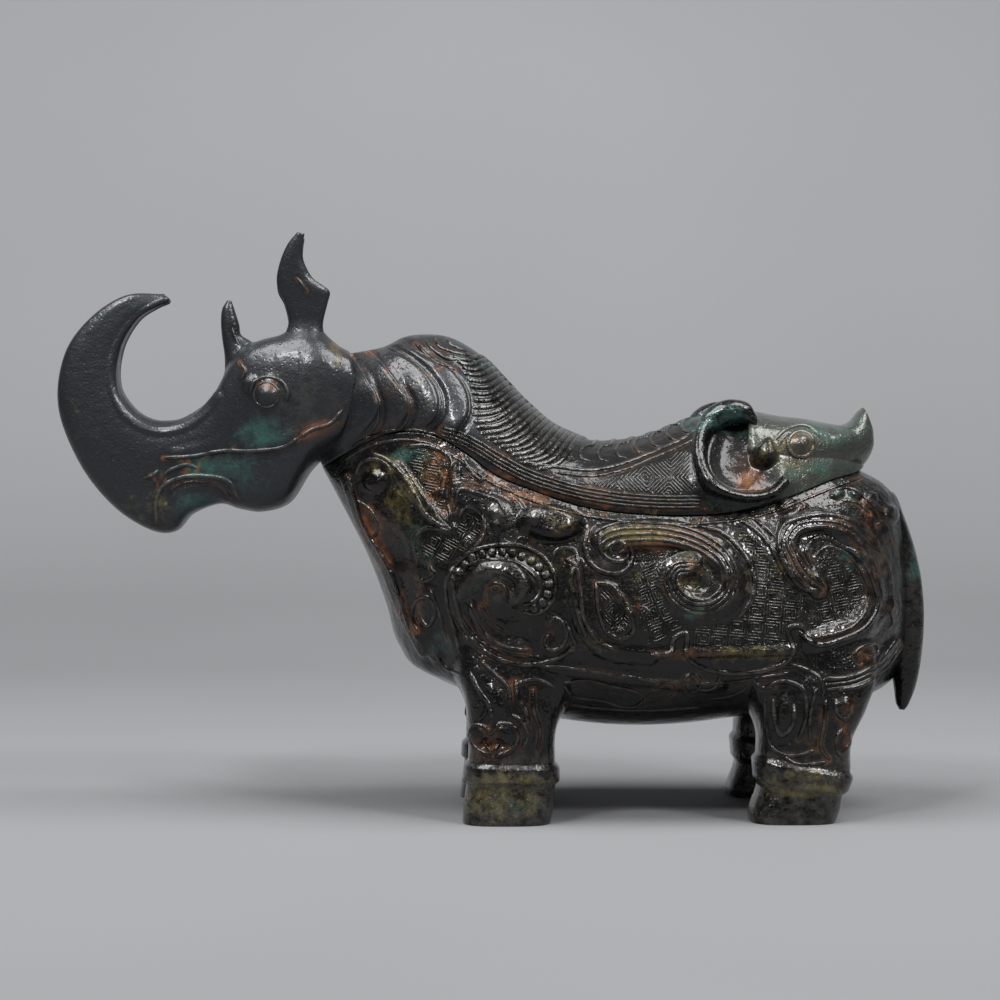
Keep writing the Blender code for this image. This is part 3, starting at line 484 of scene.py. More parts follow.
# Folds of the neck, from head to mane
NECK_FOLDS_PX = [[(330, 337), (338, 359), (349, 391), (350, 409), (343, 423), (325, 440)],
                 [(346, 351), (357, 362), (368, 380), (380, 406), (378, 424), (368, 437)],
                 [(366, 350), (380, 360), (396, 380), (411, 404), (405, 426), (396, 433)],
                 [(385, 346), (402, 353), (428, 374), (441, 396), (440, 414), (428, 430)],
                 [(402, 340), (420, 352), (449, 366), (469, 392), (470, 415), (458, 432)]]
# The cut behind each fold of the neck, its half width and depth, and the raised edge before it
NECK_CUT_HALF_PX = 3.5
NECK_CUT_DEPTH = 0.9
NECK_EDGE_RADIUS = 0.5
NECK_CUTS_PX = [(beside(line, 2.5), NECK_CUT_HALF_PX, NECK_CUT_DEPTH) for line in NECK_FOLDS_PX[1:]]
NECK_EDGES_PX = [(beside(line, -1.5), NECK_EDGE_RADIUS) for line in NECK_FOLDS_PX[1:]]
# The mane: its root and back lines, strands, where the first and last stand, sag, and how far they run on
MANE_ROOTS_PX = [(436, 343), (461, 369), (471, 398), (472, 424), (500, 449), (538, 471)]
MANE_ENDS_PX = [(470, 346), (493, 369), (516, 396), (545, 424), (567, 436), (578, 441)]
MANE_COUNT = 22
MANE_SPAN = (0.10, 0.99)
MANE_SAG_PX = (4.0, 9.0)
MANE_OVERRUN = 0.35
MANE_RADIUS = 1.45 * MM
MANE_BURY = 0.55
# The lid's raised lines, ribbons and leiwen
LID_THREADS_PX = [
    ([(425, 339), (433, 349), (447, 358), (472, 361), (487, 368)], 0.8),
    ([(435, 338), (439, 346), (452, 352), (465, 355), (480, 360)], 0.8),
    ([(446, 338), (452, 345), (467, 352)], 0.8),
    ([(415, 343), (424, 352), (440, 364), (456, 370)], 0.7),
    ([(520, 462), (556, 467), (593, 470), (622, 464), (653, 452), (680, 440), (700, 427)], 0.8),
    ([(556, 473), (593, 476), (623, 470), (655, 457), (684, 445), (697, 438)], 0.6),
    ([(352, 447), (372, 436), (392, 431), (412, 430), (436, 434)], 0.6)]
LID_RIBBONS_PX = [
    ([(440, 433), (457, 437), (477, 447), (498, 460), (524, 474), (554, 485), (584, 493), (621, 499),
      (660, 502), (702, 502)], 5.5, 5.5, 4, 0.55)]
LID_LEIWEN_PX = [
    ([(566, 482), (596, 480), (625, 474), (657, 461), (692, 445), (690, 480), (699, 493), (660, 494),
      (620, 491)], math.pi / 4)]
# Scales along the back: where each one is, and the open curve that they share
BACK_SCALES_PX = [(584, 453), (602, 453), (620, 450), (638, 445), (655, 439), (671, 432), (686, 425)]
BACK_SCALE_PX = [(7, 8), (-1, 6), (-4, 0), (0, -6), (9, -8)]
BACK_SCALE_RADIUS = 0.7 * MM
LID_DOMES_PX = [((738, 458), (28, 36), 0, -2.0), ((765, 455), (14, 14), 0, 5.0)]

# The head's eye, brow and lips
HEAD_DOMES_PX = [
    ((269, 396), (13, 13), 0, 2.4), ((268, 394), (24, 22), 0, 1.0), ((250, 383), (9, 6), -30, 1.2),
    ((202, 497), (30, 11), 0, -0.7), ((318, 382), (30, 40), 10, 1.2)]
# Bevel along the horn's inner curve, and hollows under the mouth line and the lips
HEAD_BANDS_PX = [
    ([(166, 302), (140, 318), (120, 345), (113, 378), (120, 405), (140, 425), (160, 431), (184, 427),
      (204, 414), (218, 396)], 5, 0.8),
    ([(296, 435), (270, 444), (238, 446), (205, 449), (176, 454)], 6, 0.5)]
HEAD_HOLLOWS_PX = [
    ([(292, 449), (260, 457), (226, 457), (196, 461)], 6, 0.5),
    ([(166, 500), (172, 490), (190, 484), (212, 485), (228, 496)], 4, 0.9)]
HEAD_THREADS_PX = [
    ([(300, 438), (286, 446), (255, 451), (222, 451), (195, 456), (164, 458)], 0.75),
    ([(158, 523), (157, 500), (162, 488), (180, 478), (205, 476), (229, 482), (239, 498)], 0.9),
    ([(170, 490), (185, 483), (205, 482), (222, 487), (231, 498)], 0.5),
    ([(146, 478), (153, 476), (159, 470)], 0.8),
    ([(160, 486), (166, 474), (178, 467), (190, 465), (198, 468)], 0.8),
    (ring_px(267, 395, 12.5), 0.5),
    ([(250, 394), (255, 382), (268, 377), (281, 381), (288, 392), (286, 403)], 0.8),
    ([(300, 438), (312, 430), (330, 424), (343, 410)], 0.8),
    ([(240, 362), (246, 372), (241, 380)], 0.7),
    ([(297, 278), (302, 284), (307, 292)], 0.6),
    ([(233, 328), (236, 338), (240, 346)], 0.6)]

# Rear mask and legs
MASK_DOMES_PX = [((802, 444), (15, 15), 0, 1.0), ((802, 444), (9, 9), 0, 1.6), ((846, 440), (14, 10), 0, 0.5)]
MASK_THREADS_PX = [
    (ring_px(802, 444, 13), 0.7),
    ([(776, 440), (783, 432), (792, 427), (803, 425), (814, 429), (821, 437)], 0.8),
    ([(779, 446), (784, 438), (791, 433)], 0.6)]
LEG_DOMES_PX = [
    ((479, 735), (11, 13), 0, 1.4), ((505, 735), (13, 13), 0, 1.4), ((485, 744), (6, 8), 40, -1.4),
    ((500, 744), (6, 8), -40, -1.4), ((496, 700), (9, 20), -20, 1.0), ((787, 716), (10, 22), 0, 1.2),
    ((846, 708), (10, 10), 0, 1.2), ((846, 742), (9, 13), 0, 1.2), ((814, 690), (14, 18), 0, 1.0)]
FRONT_LEG_THREADS_PX = [
    ([(492, 758), (475, 748), (469, 735), (474, 726), (484, 727), (490, 734), (500, 724), (512, 726),
      (518, 738), (512, 750), (494, 758)], 0.9),
    ([(487, 702), (484, 714), (478, 722)], 0.8),
    ([(512, 715), (522, 722), (528, 736), (522, 750)], 0.8),
    ([(516, 680), (518, 700), (526, 712), (528, 728)], 0.9),
    ([(470, 672), (478, 690), (488, 704), (492, 720)], 0.9),
    ([(482, 662), (496, 676), (508, 688), (510, 704)], 0.8),
    ([(533, 690), (534, 712), (540, 730), (538, 752)], 0.8),
    ([(484, 742), (492, 754), (500, 742)], 0.7),
    ([(516, 684), (536, 680), (556, 688)], 0.7)]
REAR_LEG_THREADS_PX = [
    ([(774, 700), (777, 722), (783, 737), (792, 730), (796, 706)], 0.9),
    ([(766, 700), (768, 728), (776, 752), (796, 758), (816, 752)], 0.7),
    ([(828, 700), (826, 726), (824, 752), (832, 762)], 0.7),
    ([(838, 700), (840, 715), (846, 720), (853, 712)], 0.9),
    ([(845, 730), (838, 742), (842, 756), (852, 746)], 0.9),
    ([(772, 668), (800, 668), (822, 680), (826, 704)], 0.8),
    ([(764, 690), (784, 682), (804, 690), (808, 716), (800, 742)], 0.8),
    ([(818, 690), (812, 716), (812, 744)], 0.7),
    ([(776, 752), (800, 766), (828, 764)], 0.7)]
# Leiwen: cell, distance between lines, step along them
FLANK_LEIWEN_CELL_PX = 17.4
LID_LEIWEN_CELL_PX = 37.0
LEIWEN_LINE_PX = 2.9
LEIWEN_STEP_PX = 1.6
LEIWEN_RADIUS = 0.33 * MM
LEIWEN_BURY = 0.1
# Step along lines on which only places are looked up
FINE_STEP_PX = 1.0
# Raised threads: step along them, sunk share of the radius, longest step that isn't a break
THREAD_STEP_PX = 2.2
THREAD_BURY = 0.35
THREAD_JUMP = 13 * MM
# Lines that cross the back: steps to its middle, lean on the way, a height above it
CREST_STEPS = 6
CREST_LEAN = 2.5 * MM
ABOVE_LID = 0.25
# Domes: flat share of the half axes, share at which they end, and how far their top curves
DOME_EDGE = (0.45, 1.05)
DOME_CURVE = 0.25
# Bands: how far inside and outside the half width their edge slopes, and the step along their line
BAND_SLOPE_PX = (3.0, 1.5)
BAND_STEP_PX = 2.0
BAND_REACH_PX = 2.0
# How far a skin has to face sideways to carry relief
RELIEF_FADE = (0.12, 0.40)
# A ray that first meets the object past this Y has missed the left side
LEFT_SIDE_LIMIT = 4 * MM
# A thread's girth at its tip, and what each further point adds
THREAD_TIP = 0.45
THREAD_TAPER = 0.28
LEAST_RUN = 3
# Points that are the same, and edges that are too short
SAME_POINT = 1e-6
SHORT_EDGE = 1e-7
# Fineness and squareness of a scale
SCALE_SEGMENTS = (12, 6)
SCALE_SQUARENESS = 0.7


def seen_from_left(points):
    """Pixels at which the photograph shows points of the left side; the right side is folded onto it."""
    points = np.asarray(points, float)
    depth = -np.abs(points[:, 1]) - CAMERA_AT[1]
    u = FAR_POINT_PX[0] + FOCAL_PX * (points[:, 0] - CAMERA_AT[0]) / depth
    v = FAR_POINT_PX[1] - FOCAL_PX * (points[:, 2] - CAMERA_AT[2]) / depth
    return u, v


def smooth_line(line, step):
    """Points at an even step along a smooth curve through the line's points."""
    line = np.asarray(line, float)
    run = np.concatenate([[0.0], np.cumsum(np.linalg.norm(np.diff(line, axis=0), axis=1))])
    count = max(2, int(run[-1] / step) + 1)
    return through(np.column_stack([run, line]), np.linspace(0, run[-1], count))


def distance_to(u, v, line, reach):
    """Distance in pixels from each point to a smooth line, no larger than reach."""
    path = smooth_line(line, BAND_STEP_PX)
    best = np.full(len(u), float(reach))
    low, high = path.min(axis=0) - reach, path.max(axis=0) + reach
    near = np.flatnonzero((u > low[0]) & (u < high[0]) & (v > low[1]) & (v < high[1]))
    for a, b in zip(path, path[1:]):
        along = b - a
        du, dv = u[near] - a[0], v[near] - a[1]
        f = np.clip((du * along[0] + dv * along[1]) / (along @ along), 0, 1)
        best[near] = np.minimum(best[near], np.hypot(du - f * along[0], dv - f * along[1]))
    return best


def inside(u, v, outline):
    """Whether points are inside a closed outline."""
    found = np.zeros(len(u), bool)
    for (u1, v1), (u2, v2) in zip(outline, outline[1:] + outline[:1]):
        crosses = (v1 > v) != (v2 > v)
        with np.errstate(divide="ignore", invalid="ignore"):
            found ^= crosses & (u < (u2 - u1) * (v - v1) / (v2 - v1) + u1)
    return found


def dome_height(u, v, domes):
    """Height in metres of rounded bosses and hollows."""
    height = np.zeros(len(u))
    for (cu, cv), (ru, rv), turn, rise in domes:
        c, s = math.cos(math.radians(turn)), math.sin(math.radians(turn))
        du, dv = u - cu, v - cv
        r = np.hypot((du * c + dv * s) / ru, (dv * c - du * s) / rv)
        height += rise * MM * (1 - soft_step(*DOME_EDGE, r)) * (1 - DOME_CURVE * np.minimum(r, 1) ** 2)
    return height


def band_height(u, v, bands):
    """Height in metres of flat-topped bands with soft edges."""
    height = np.zeros(len(u))
    within, beyond = BAND_SLOPE_PX
    for line, half, rise in bands:
        d = distance_to(u, v, line, half + BAND_REACH_PX)
        height = np.maximum(height, rise * MM * (1 - soft_step(half - within, half + beyond, d)))
    return height


def skin_mesh(name, rings, caps=(False, False)):
    """Closed-ring loft as a mesh: rings is rows by columns by 3, symmetric about its first column."""
    rings = np.asarray(rings)
    rows, columns = rings.shape[:2]
    grid = np.arange(rows * columns).reshape(rows, columns)
    ahead = np.roll(grid, -1, axis=1)
    quads = np.stack([grid[:-1], ahead[:-1], ahead[1:], grid[1:]], axis=-1).reshape(-1, 4)
    faces = quads.tolist()
    for row, wanted in ((grid[0], caps[0]), (grid[-1], caps[1])):
        for i in range(columns // 2 if wanted else 0):
            corners = [row[i], row[i + 1], row[(columns - i - 1) % columns], row[(columns - i) % columns]]
            faces.append(list(dict.fromkeys(int(c) for c in corners)))
    mesh = bpy.data.meshes.new(name)
    mesh.from_pydata(rings.reshape(-1, 3).tolist(), [], faces)
    clean(mesh)
    return mesh


def clean(mesh):
    """Close seams and poles, and turn the faces outwards."""
    form = bmesh.new()
    form.from_mesh(mesh)
    bmesh.ops.remove_doubles(form, verts=form.verts, dist=SAME_POINT)
    bmesh.ops.dissolve_degenerate(form, edges=form.edges, dist=SHORT_EDGE)
    bmesh.ops.recalc_face_normals(form, faces=form.faces)
    form.to_mesh(mesh)
    form.free()
    mesh.shade_smooth()


def places(mesh):
    """A mesh's points, as rows."""
    flat = np.empty(len(mesh.vertices) * 3)
    mesh.vertices.foreach_get("co", flat)
    return flat.reshape(-1, 3)


def normals(mesh):
    """The direction that each point of a mesh faces."""
    flat = np.empty(len(mesh.vertices) * 3)
    mesh.vertex_normals.foreach_get("vector", flat)
    return flat.reshape(-1, 3)


def move(mesh, points):
    """Put a mesh's points in new places."""
    mesh.vertices.foreach_set("co", np.asarray(points, float).ravel())
    mesh.update()


def raise_relief(mesh, height_of):
    """Push a skin out by a height read in the photograph, fading where the skin turns away from the side."""
    points, facing = places(mesh), normals(mesh)
    u, v = seen_from_left(points)
    sideways = facing[:, 1] * np.sign(points[:, 1])
    height = height_of(u, v) * soft_step(*RELIEF_FADE, sideways)
    move(mesh, points + facing * height[:, None])


def surface_tree(*meshes):
    """One tree over the triangles of several skins, for finding the nearest or first place on them."""
    points, corners = [], []
    for mesh in meshes:
        mesh.calc_loop_triangles()
        flat = np.empty(len(mesh.loop_triangles) * 3, np.int32)
        mesh.loop_triangles.foreach_get("vertices", flat)
        corners += (flat.reshape(-1, 3) + len(points)).tolist()
        points += places(mesh).tolist()
    return BVHTree.FromPolygons(points, corners)


def on_surface(tree, pixels):
    """(place, normal) on the left side under each pixel of the photograph, or None where it misses."""
    eye = Vector(CAMERA_AT)
    hits = []
    for u, v in pixels:
        ray = Vector(((u - FAR_POINT_PX[0]) / FOCAL_PX, 1.0, (FAR_POINT_PX[1] - v) / FOCAL_PX)).normalized()
        place, normal, _, _ = tree.ray_cast(eye, ray)
        hits.append((place, normal) if place and place.y < LEFT_SIDE_LIMIT else None)
    return hits


def over_the_back(tree, run):
    """A run carried on from its last place to the middle of the back and down the other side."""
    end = run[-1][0]
    for share in np.linspace(0.0, 1.0, CREST_STEPS)[1:]:
        above = Vector((end.x + CREST_LEAN * share, end.y * (1 - share), ABOVE_LID))
        place, normal, _, _ = tree.ray_cast(above, Vector((0, 0, -1)))
        if place:
            run = run + [(place, normal)]
    return run + mirrored(run[:-1])[::-1]


def mirrored(run):
    """The same run on the other side."""
    swap = Vector((1, -1, 1))
    return [(place * swap, normal * swap) for place, normal in run]


class Threads:
    """Guide lines on a surface, left and right, for sweeping raised threads along them."""

    def __init__(self):
        self.points, self.edges, self.girth, self.facing = [], [], [], []

    def add_run(self, run, radius, bury):
        """Add a run of (place, normal), thin at both tips and sunk by a share of its radius."""
        first = len(self.points)
        last = len(run) - 1
        for i, (place, normal) in enumerate(run):
            taper = min(1.0, THREAD_TIP + THREAD_TAPER * min(i, last - i))
            self.points.append(place - normal * radius * bury)
            self.facing.append(normal)
            self.girth.append(radius * taper)
            if i:
                self.edges.append((first + i - 1, first + i))

    def add_line(self, tree, line, radius):
        """Lay a smooth line of the photograph on both sides."""
        self.add_pixels(tree, smooth_line(line, THREAD_STEP_PX), radius, THREAD_BURY)

    def add_pixels(self, tree, pixels, radius, bury, crossing=False):
        """Lay a run of pixels on both sides, broken where it jumps to another part of the surface."""
        runs, run = [], []
        for hit in on_surface(tree, pixels):
            if hit and run and (hit[0] - run[-1][0]).length > THREAD_JUMP:
                runs.append(run)
                run = []
            if hit:
                run.append(hit)
        runs.append(run)
        for run in runs:
            if len(run) < LEAST_RUN:
                continue
            if crossing:
                self.add_run(over_the_back(tree, run), radius, bury)
            else:
                self.add_run(run, radius, bury)
                self.add_run(mirrored(run), radius, bury)


def geometry_tree(name, sizes):
    """An empty node tree with a geometry input, named sizes and a geometry output."""
    tree = bpy.data.node_groups.new(name, "GeometryNodeTree")
    tree.interface.new_socket(name="Guide", in_out="INPUT", socket_type="NodeSocketGeometry")
    for label, kind in sizes:
        tree.interface.new_socket(name=label, in_out="INPUT", socket_type=kind)
    tree.interface.new_socket(name="Relief", in_out="OUTPUT", socket_type="NodeSocketGeometry")
    return tree, tree.nodes.new("NodeGroupInput"), tree.nodes.new("NodeGroupOutput")


def named_attribute(tree, name, kind):
    node = tree.nodes.new("GeometryNodeInputNamedAttribute")
    node.data_type = kind
    node.inputs["Name"].default_value = name
    return node.outputs["Attribute"]


def finish_tree(tree, made, group_in, group_out):
    """End a tree in plain geometry with its finish."""
    realize = tree.nodes.new("GeometryNodeRealizeInstances")
    finish = tree.nodes.new("GeometryNodeSetMaterial")
    tree.links.new(made, realize.inputs["Geometry"])
    tree.links.new(realize.outputs["Geometry"], finish.inputs["Geometry"])
    tree.links.new(group_in.outputs["Finish"], finish.inputs["Material"])
    tree.links.new(finish.outputs["Geometry"], group_out.inputs["Relief"])


def thread_tree():
    """Sweeps a round thread along guide edges; each guide point's girth is the thread's radius there."""
    tree, group_in, group_out = geometry_tree("swept_threads", [("Sides", "NodeSocketInt"),
                                                                ("Finish", "NodeSocketMaterial")])
    to_curve = tree.nodes.new("GeometryNodeMeshToCurve")
    radius = tree.nodes.new("GeometryNodeSetCurveRadius")
    circle = tree.nodes.new("GeometryNodeCurvePrimitiveCircle")
    sweep = tree.nodes.new("GeometryNodeCurveToMesh")
    girth = named_attribute(tree, "girth", "FLOAT")
    circle.inputs["Radius"].default_value = 1.0
    sweep.inputs["Fill Caps"].default_value = True
    tree.links.new(group_in.outputs["Guide"], to_curve.inputs["Mesh"])
    tree.links.new(to_curve.outputs["Curve"], radius.inputs["Curve"])
    tree.links.new(girth, radius.inputs["Radius"])
    tree.links.new(group_in.outputs["Sides"], circle.inputs["Resolution"])
    tree.links.new(radius.outputs["Curve"], sweep.inputs["Curve"])
    tree.links.new(circle.outputs["Curve"], sweep.inputs["Profile Curve"])
    tree.links.new(girth, sweep.inputs["Scale"])
    finish_tree(tree, sweep.outputs["Mesh"], group_in, group_out)
    return tree


def stamp_tree():
    """Sets a copy of a stamp on each guide point, standing along its facing and turned along its heading."""
    tree, group_in, group_out = geometry_tree("stamped_pattern", [("Stamp", "NodeSocketObject"),
                                                                  ("Finish", "NodeSocketMaterial")])
    info = tree.nodes.new("GeometryNodeObjectInfo")
    axes = tree.nodes.new("FunctionNodeAxesToRotation")
    put = tree.nodes.new("GeometryNodeInstanceOnPoints")
    axes.primary_axis, axes.secondary_axis = "Z", "X"
    tree.links.new(named_attribute(tree, "facing", "FLOAT_VECTOR"), axes.inputs["Primary Axis"])
    tree.links.new(named_attribute(tree, "heading", "FLOAT_VECTOR"), axes.inputs["Secondary Axis"])
    tree.links.new(group_in.outputs["Stamp"], info.inputs["Object"])
    tree.links.new(group_in.outputs["Guide"], put.inputs["Points"])
    tree.links.new(info.outputs["Geometry"], put.inputs["Instance"])
    tree.links.new(axes.outputs["Rotation"], put.inputs["Rotation"])
    tree.links.new(named_attribute(tree, "girth", "FLOAT"), put.inputs["Scale"])
    finish_tree(tree, put.outputs["Instances"], group_in, group_out)
    return tree


def grown(name, guide, tree, values):
    """Run a node tree on a guide mesh and keep the result as a plain mesh."""
    item = bpy.data.objects.new(name, guide)
    bpy.context.scene.collection.objects.link(item)
    modifier = item.modifiers.new("grow", "NODES")
    modifier.node_group = tree
    for socket in tree.interface.items_tree:
        if socket.in_out == "INPUT" and socket.name in values:
            modifier[socket.identifier] = values[socket.name]
    bpy.context.view_layer.update()
    depsgraph = bpy.context.evaluated_depsgraph_get()
    mesh = bpy.data.meshes.new_from_object(item.evaluated_get(depsgraph), depsgraph=depsgraph)
    item.modifiers.remove(modifier)
    bpy.data.objects.remove(item, do_unlink=True)
    mesh.name = name
    mesh.shade_smooth()
    return mesh


def set_attribute(mesh, name, values, kind="FLOAT"):
    layer = mesh.attributes.get(name) or mesh.attributes.new(name, kind, "POINT")
    key = "value" if kind == "FLOAT" else "vector"
    layer.data.foreach_set(key, np.asarray(values, np.float32).ravel())


def guide_mesh(points, edges, girth, facing, heading=None):
    """Points and edges for a node tree to grow on, with what it reads at each point."""
    mesh = bpy.data.meshes.new("guide")
    mesh.from_pydata([tuple(p) for p in points], edges, [])
    set_attribute(mesh, "girth", girth)
    set_attribute(mesh, "facing", [tuple(n) for n in facing], "FLOAT_VECTOR")
    if heading is not None:
        set_attribute(mesh, "heading", [tuple(h) for h in heading], "FLOAT_VECTOR")
    return mesh


def scale_stamp(length, width, rise):
    """A domed scale cell."""
    form = bmesh.new()
    around, upward = SCALE_SEGMENTS
    bmesh.ops.create_uvsphere(form, u_segments=around, v_segments=upward, radius=1.0)
    for vertex in form.verts:
        square = [math.copysign(abs(c) ** SCALE_SQUARENESS, c) for c in vertex.co]
        vertex.co = Vector((square[0] * length / 2, square[1] * width / 2, square[2] * rise))
    mesh = bpy.data.meshes.new("scale_stamp")
    form.to_mesh(mesh)
    form.free()
    return bpy.data.objects.new("scale_stamp", mesh)


def stamped(name, tree, stamp, spots, finish):
    """Stamps on spots of (place, normal, heading), mirrored to the right side."""
    mirror = Vector((1, -1, 1))
    both = spots + [(place * mirror, normal * mirror, heading * mirror) for place, normal, heading in spots]
    points, facing, heading = zip(*both)
    guide = guide_mesh(points, [], np.ones(len(points)), facing, heading)
    return grown(name, guide, tree, {"Stamp": stamp, "Finish": finish})


def ribbon_lines(line, wide, narrow, count):
    """Lines that run side by side along a middle line, closing up from one width to another."""
    path = smooth_line(line, THREAD_STEP_PX)
    ahead = np.gradient(path, axis=0)
    across = np.column_stack([-ahead[:, 1], ahead[:, 0]]) / np.linalg.norm(ahead, axis=1, keepdims=True)
    half = np.linspace(wide, narrow, len(path))[:, None]
    return [path + across * half * share for share in np.linspace(-1, 1, count)]


def square_spiral(cell, pitch):
    """Corners of a square spiral that fills a cell about the origin, from outside to inside."""
    length = cell - pitch
    corners = [np.array([-length / 2, -length / 2])]
    heading = np.array([1.0, 0.0])
    leg = 0
    while length > pitch / 2:
        corners.append(corners[-1] + heading * length)
        heading = np.array([-heading[1], heading[0]])
        length -= pitch if leg > 1 and leg % 2 == 0 else 0.0
        leg += 1
    return np.array(corners)


def stepped(start, end):
    """Even steps along one leg of a spiral, without its end."""
    count = max(2, int(np.linalg.norm(end - start) / LEIWEN_STEP_PX))
    return np.linspace(start, end, count, endpoint=False)


def leiwen_lines(field, cell, pitch, turn):
    """A field of leiwen: square spirals on a turned grid, every other one half round, cut at the outline."""
    along = np.array([math.cos(turn), math.sin(turn)])
    down = np.array([-along[1], along[0]])
    spiral = square_spiral(cell, pitch)
    middle = np.mean(field, axis=0)
    reach = int(np.linalg.norm(np.ptp(field, axis=0)) / cell / 2) + 2
    lines = []
    for row in range(-reach, reach + 1):
        for column in range(-reach, reach + 1):
            flip = 1 if (row + column) % 2 else -1
            corners = middle + (spiral[:, :1] * flip + column * cell) * along
            corners = corners + (spiral[:, 1:] * flip + row * cell) * down
            path = np.concatenate([stepped(a, b) for a, b in zip(corners, corners[1:])])
            kept = inside(path[:, 0], path[:, 1], field)
            cuts = np.flatnonzero(np.diff(kept.astype(int))) + 1
            lines += [run for run, there in zip(np.split(path, cuts), np.split(kept, cuts)) if there[0]]
    return lines


def row_spots(tree, line, count):
    """Even places along a line, heading along it."""
    path = smooth_line(line, FINE_STEP_PX)
    picks = np.linspace(0, len(path) - 2, count).astype(int)
    spots = []
    for hit, ahead in zip(on_surface(tree, path[picks]), on_surface(tree, path[picks + 1])):
        if hit and ahead:
            spots.append((hit[0], hit[1], ahead[0] - hit[0]))
    return spots


def mane_lines():
    """The mane's ridges, from root line to back line, each with a slight sag."""
    roots, ends = smooth_line(MANE_ROOTS_PX, FINE_STEP_PX), smooth_line(MANE_ENDS_PX, FINE_STEP_PX)
    lines = []
    for share in np.linspace(*MANE_SPAN, MANE_COUNT):
        root, end = roots[int(share * (len(roots) - 1))], ends[int(share * (len(ends) - 1))]
        middle = (root + end) / 2 + np.array([0, np.interp(share, (0, 1), MANE_SAG_PX)])
        past = end + (end - middle) * MANE_OVERRUN
        lines.append([tuple(root), tuple(middle), tuple(end), tuple(past)])
    return lines


# How far castings flow into each other, and how deep a limb's hidden end stays under the skin it stands on
LEG_FILLET = 0.012
TAIL_FILLET = 0.005
MASK_FILLET = 0.010
EAR_FILLET = 0.005
HIDDEN_DEPTH = 0.0015
# Heights of the middle of the hollow castings
VESSEL_MIDDLE = 0.075
LID_MIDDLE = 0.105
# The cheek's rounded rear edge
CHEEK_FROM = -0.068
CHEEK_BOW = 0.005
CHEEK_MIDDLE = 0.1415
CHEEK_HALF_HEIGHT = 0.018
# How much the C-shaped ear is fattened at its tip, its bend and its foot
MASK_EAR_FATNESS = ((0.0, 3.0, 9.0), (1.8, 1.4, 1.2))
# The far ear stands a little further forward, because the photo shows it hidden behind the near one
FAR_EAR_SHIFT = -1.1 * MM

# Girth of raised threads, as a share of what their lines give
FLANK_GIRTH = 1.25
LEG_GIRTH = 1.15
LID_GIRTH = 1.15
MASK_GIRTH = 1.2
# Sides of a thread, and how far its top is worn bright, partly as a painted highlight
THREAD_SIDES = 8
LEIWEN_SIDES = 6
THREAD_RUB_AND_HIGHLIGHT = 0.7
# The leiwen's tops are lightened in full, painted as glints
LEIWEN_RUB_AND_GLINT = 1.0
# A thread's foot, darkened with painted shade and rust, and its top, worn bright and partly a painted
# highlight, by how far its skin faces outwards
THREAD_FOOT = (-0.1, 0.65)
THREAD_TOP = (0.6, 0.98)
# How far from a thread rust collects and shade is painted, how strong both are by leiwen, and the even dirt
# on the mask's ears
GROOVE_REACH = 2.2 * MM
HEAD_GROOVE_REACH = 1.8 * MM
MASK_GROOVE_REACH = 1.2 * MM
FOLD_GROOVE_REACH = 1.0 * MM
LEIWEN_GROOVE_REACH = 0.9 * MM
LEIWEN_SHADE_AND_RUST = 0.55
MASK_EAR_DIRT = 0.1
# Shoulder scales: length, width, rise, dirt between them, rubbed tops
SCALE_SIZE = (2.8 * MM, 3.4 * MM, 1.2 * MM)
SCALE_DIRT = 0.25
SCALE_RUB = 0.7
SCALE_TOP = (0.2, 0.9)
# Rubbed hooves and bosses, and the heights between which the rubbing fades
HOOF_RUB = 0.55
HOOF_FADE = (0.0260, 0.0208)
BOSS_RUB = 0.45
BOSS_FADE = (1.8 * MM, 3.6 * MM)
# Where the lid's blue-grey neck gives way to its black back, and its back to the green-grey of the mask
NECK_GREY_PX = (470, 540)
MASK_GREEN_PX = (768, 792)
# The cup inside the mask's C-shaped ear, darkened with painted shade, rust and dullness as if a deep groove
EAR_CUP_SHADE_AND_RUST_PX = [((742, 468), (34, 38), 0.7)]

# Finishes, linear colour
BRONZE_DARK = (0.0028, 0.0026, 0.0024)
# Black for random flecks, and for painted shade in grooves
BRONZE_BLACK_AND_SHADE = (0.003, 0.003, 0.003)
BRONZE_BROWN = (0.020, 0.013, 0.008)
BRONZE_STEEL = (0.022, 0.025, 0.029)
BRONZE_GREEN = (0.056, 0.063, 0.051)
# Pale worn bronze, also painted on ridges and patches as highlights and sheen
BRONZE_WORN_AND_HIGHLIGHT = (0.190, 0.180, 0.160)
RUST = (0.260, 0.095, 0.028)
OCHRE = (0.135, 0.108, 0.032)
VERDIGRIS = (0.024, 0.085, 0.072)
DUST = (0.300, 0.300, 0.280)
# Grain of the patina: waves of noise in a metre, its detail and its roughness
CLOUD_NOISE = (48, 5, 0.6)
FLECK_NOISE = (420, 5, 0.7)
SPECK_NOISE = (1300, 2, 0.6)
GREEN_NOISE = (120, 8, 0.75)
OCHRE_NOISE = (260, 8, 0.75)
RUST_NOISE = (170, 8, 0.75)
STAIN_NOISE = (60, 4, 0.6)
RUB_AND_HIGHLIGHT_NOISE = (300, 4, 0.6)
WAVE_NOISE = (230, 2, 0.5)
# Casting pits in a metre
PIT_SCALE = 700
# The part of each noise over which its tone comes in
CLOUD_SPAN = (0.44, 0.68)
FLECK_SPAN = (0.54, 0.72)
SPECK_SPAN = (0.72, 0.78)
STAIN_SPAN = (0.46, 0.62)
RUB_AND_HIGHLIGHT_SPAN = (0.40, 0.66)
PATCH_SPAN = (0.62, 0.82)
DULL_SPAN = (0.35, 0.70)
PIT_SPAN = (0.0, 0.35)
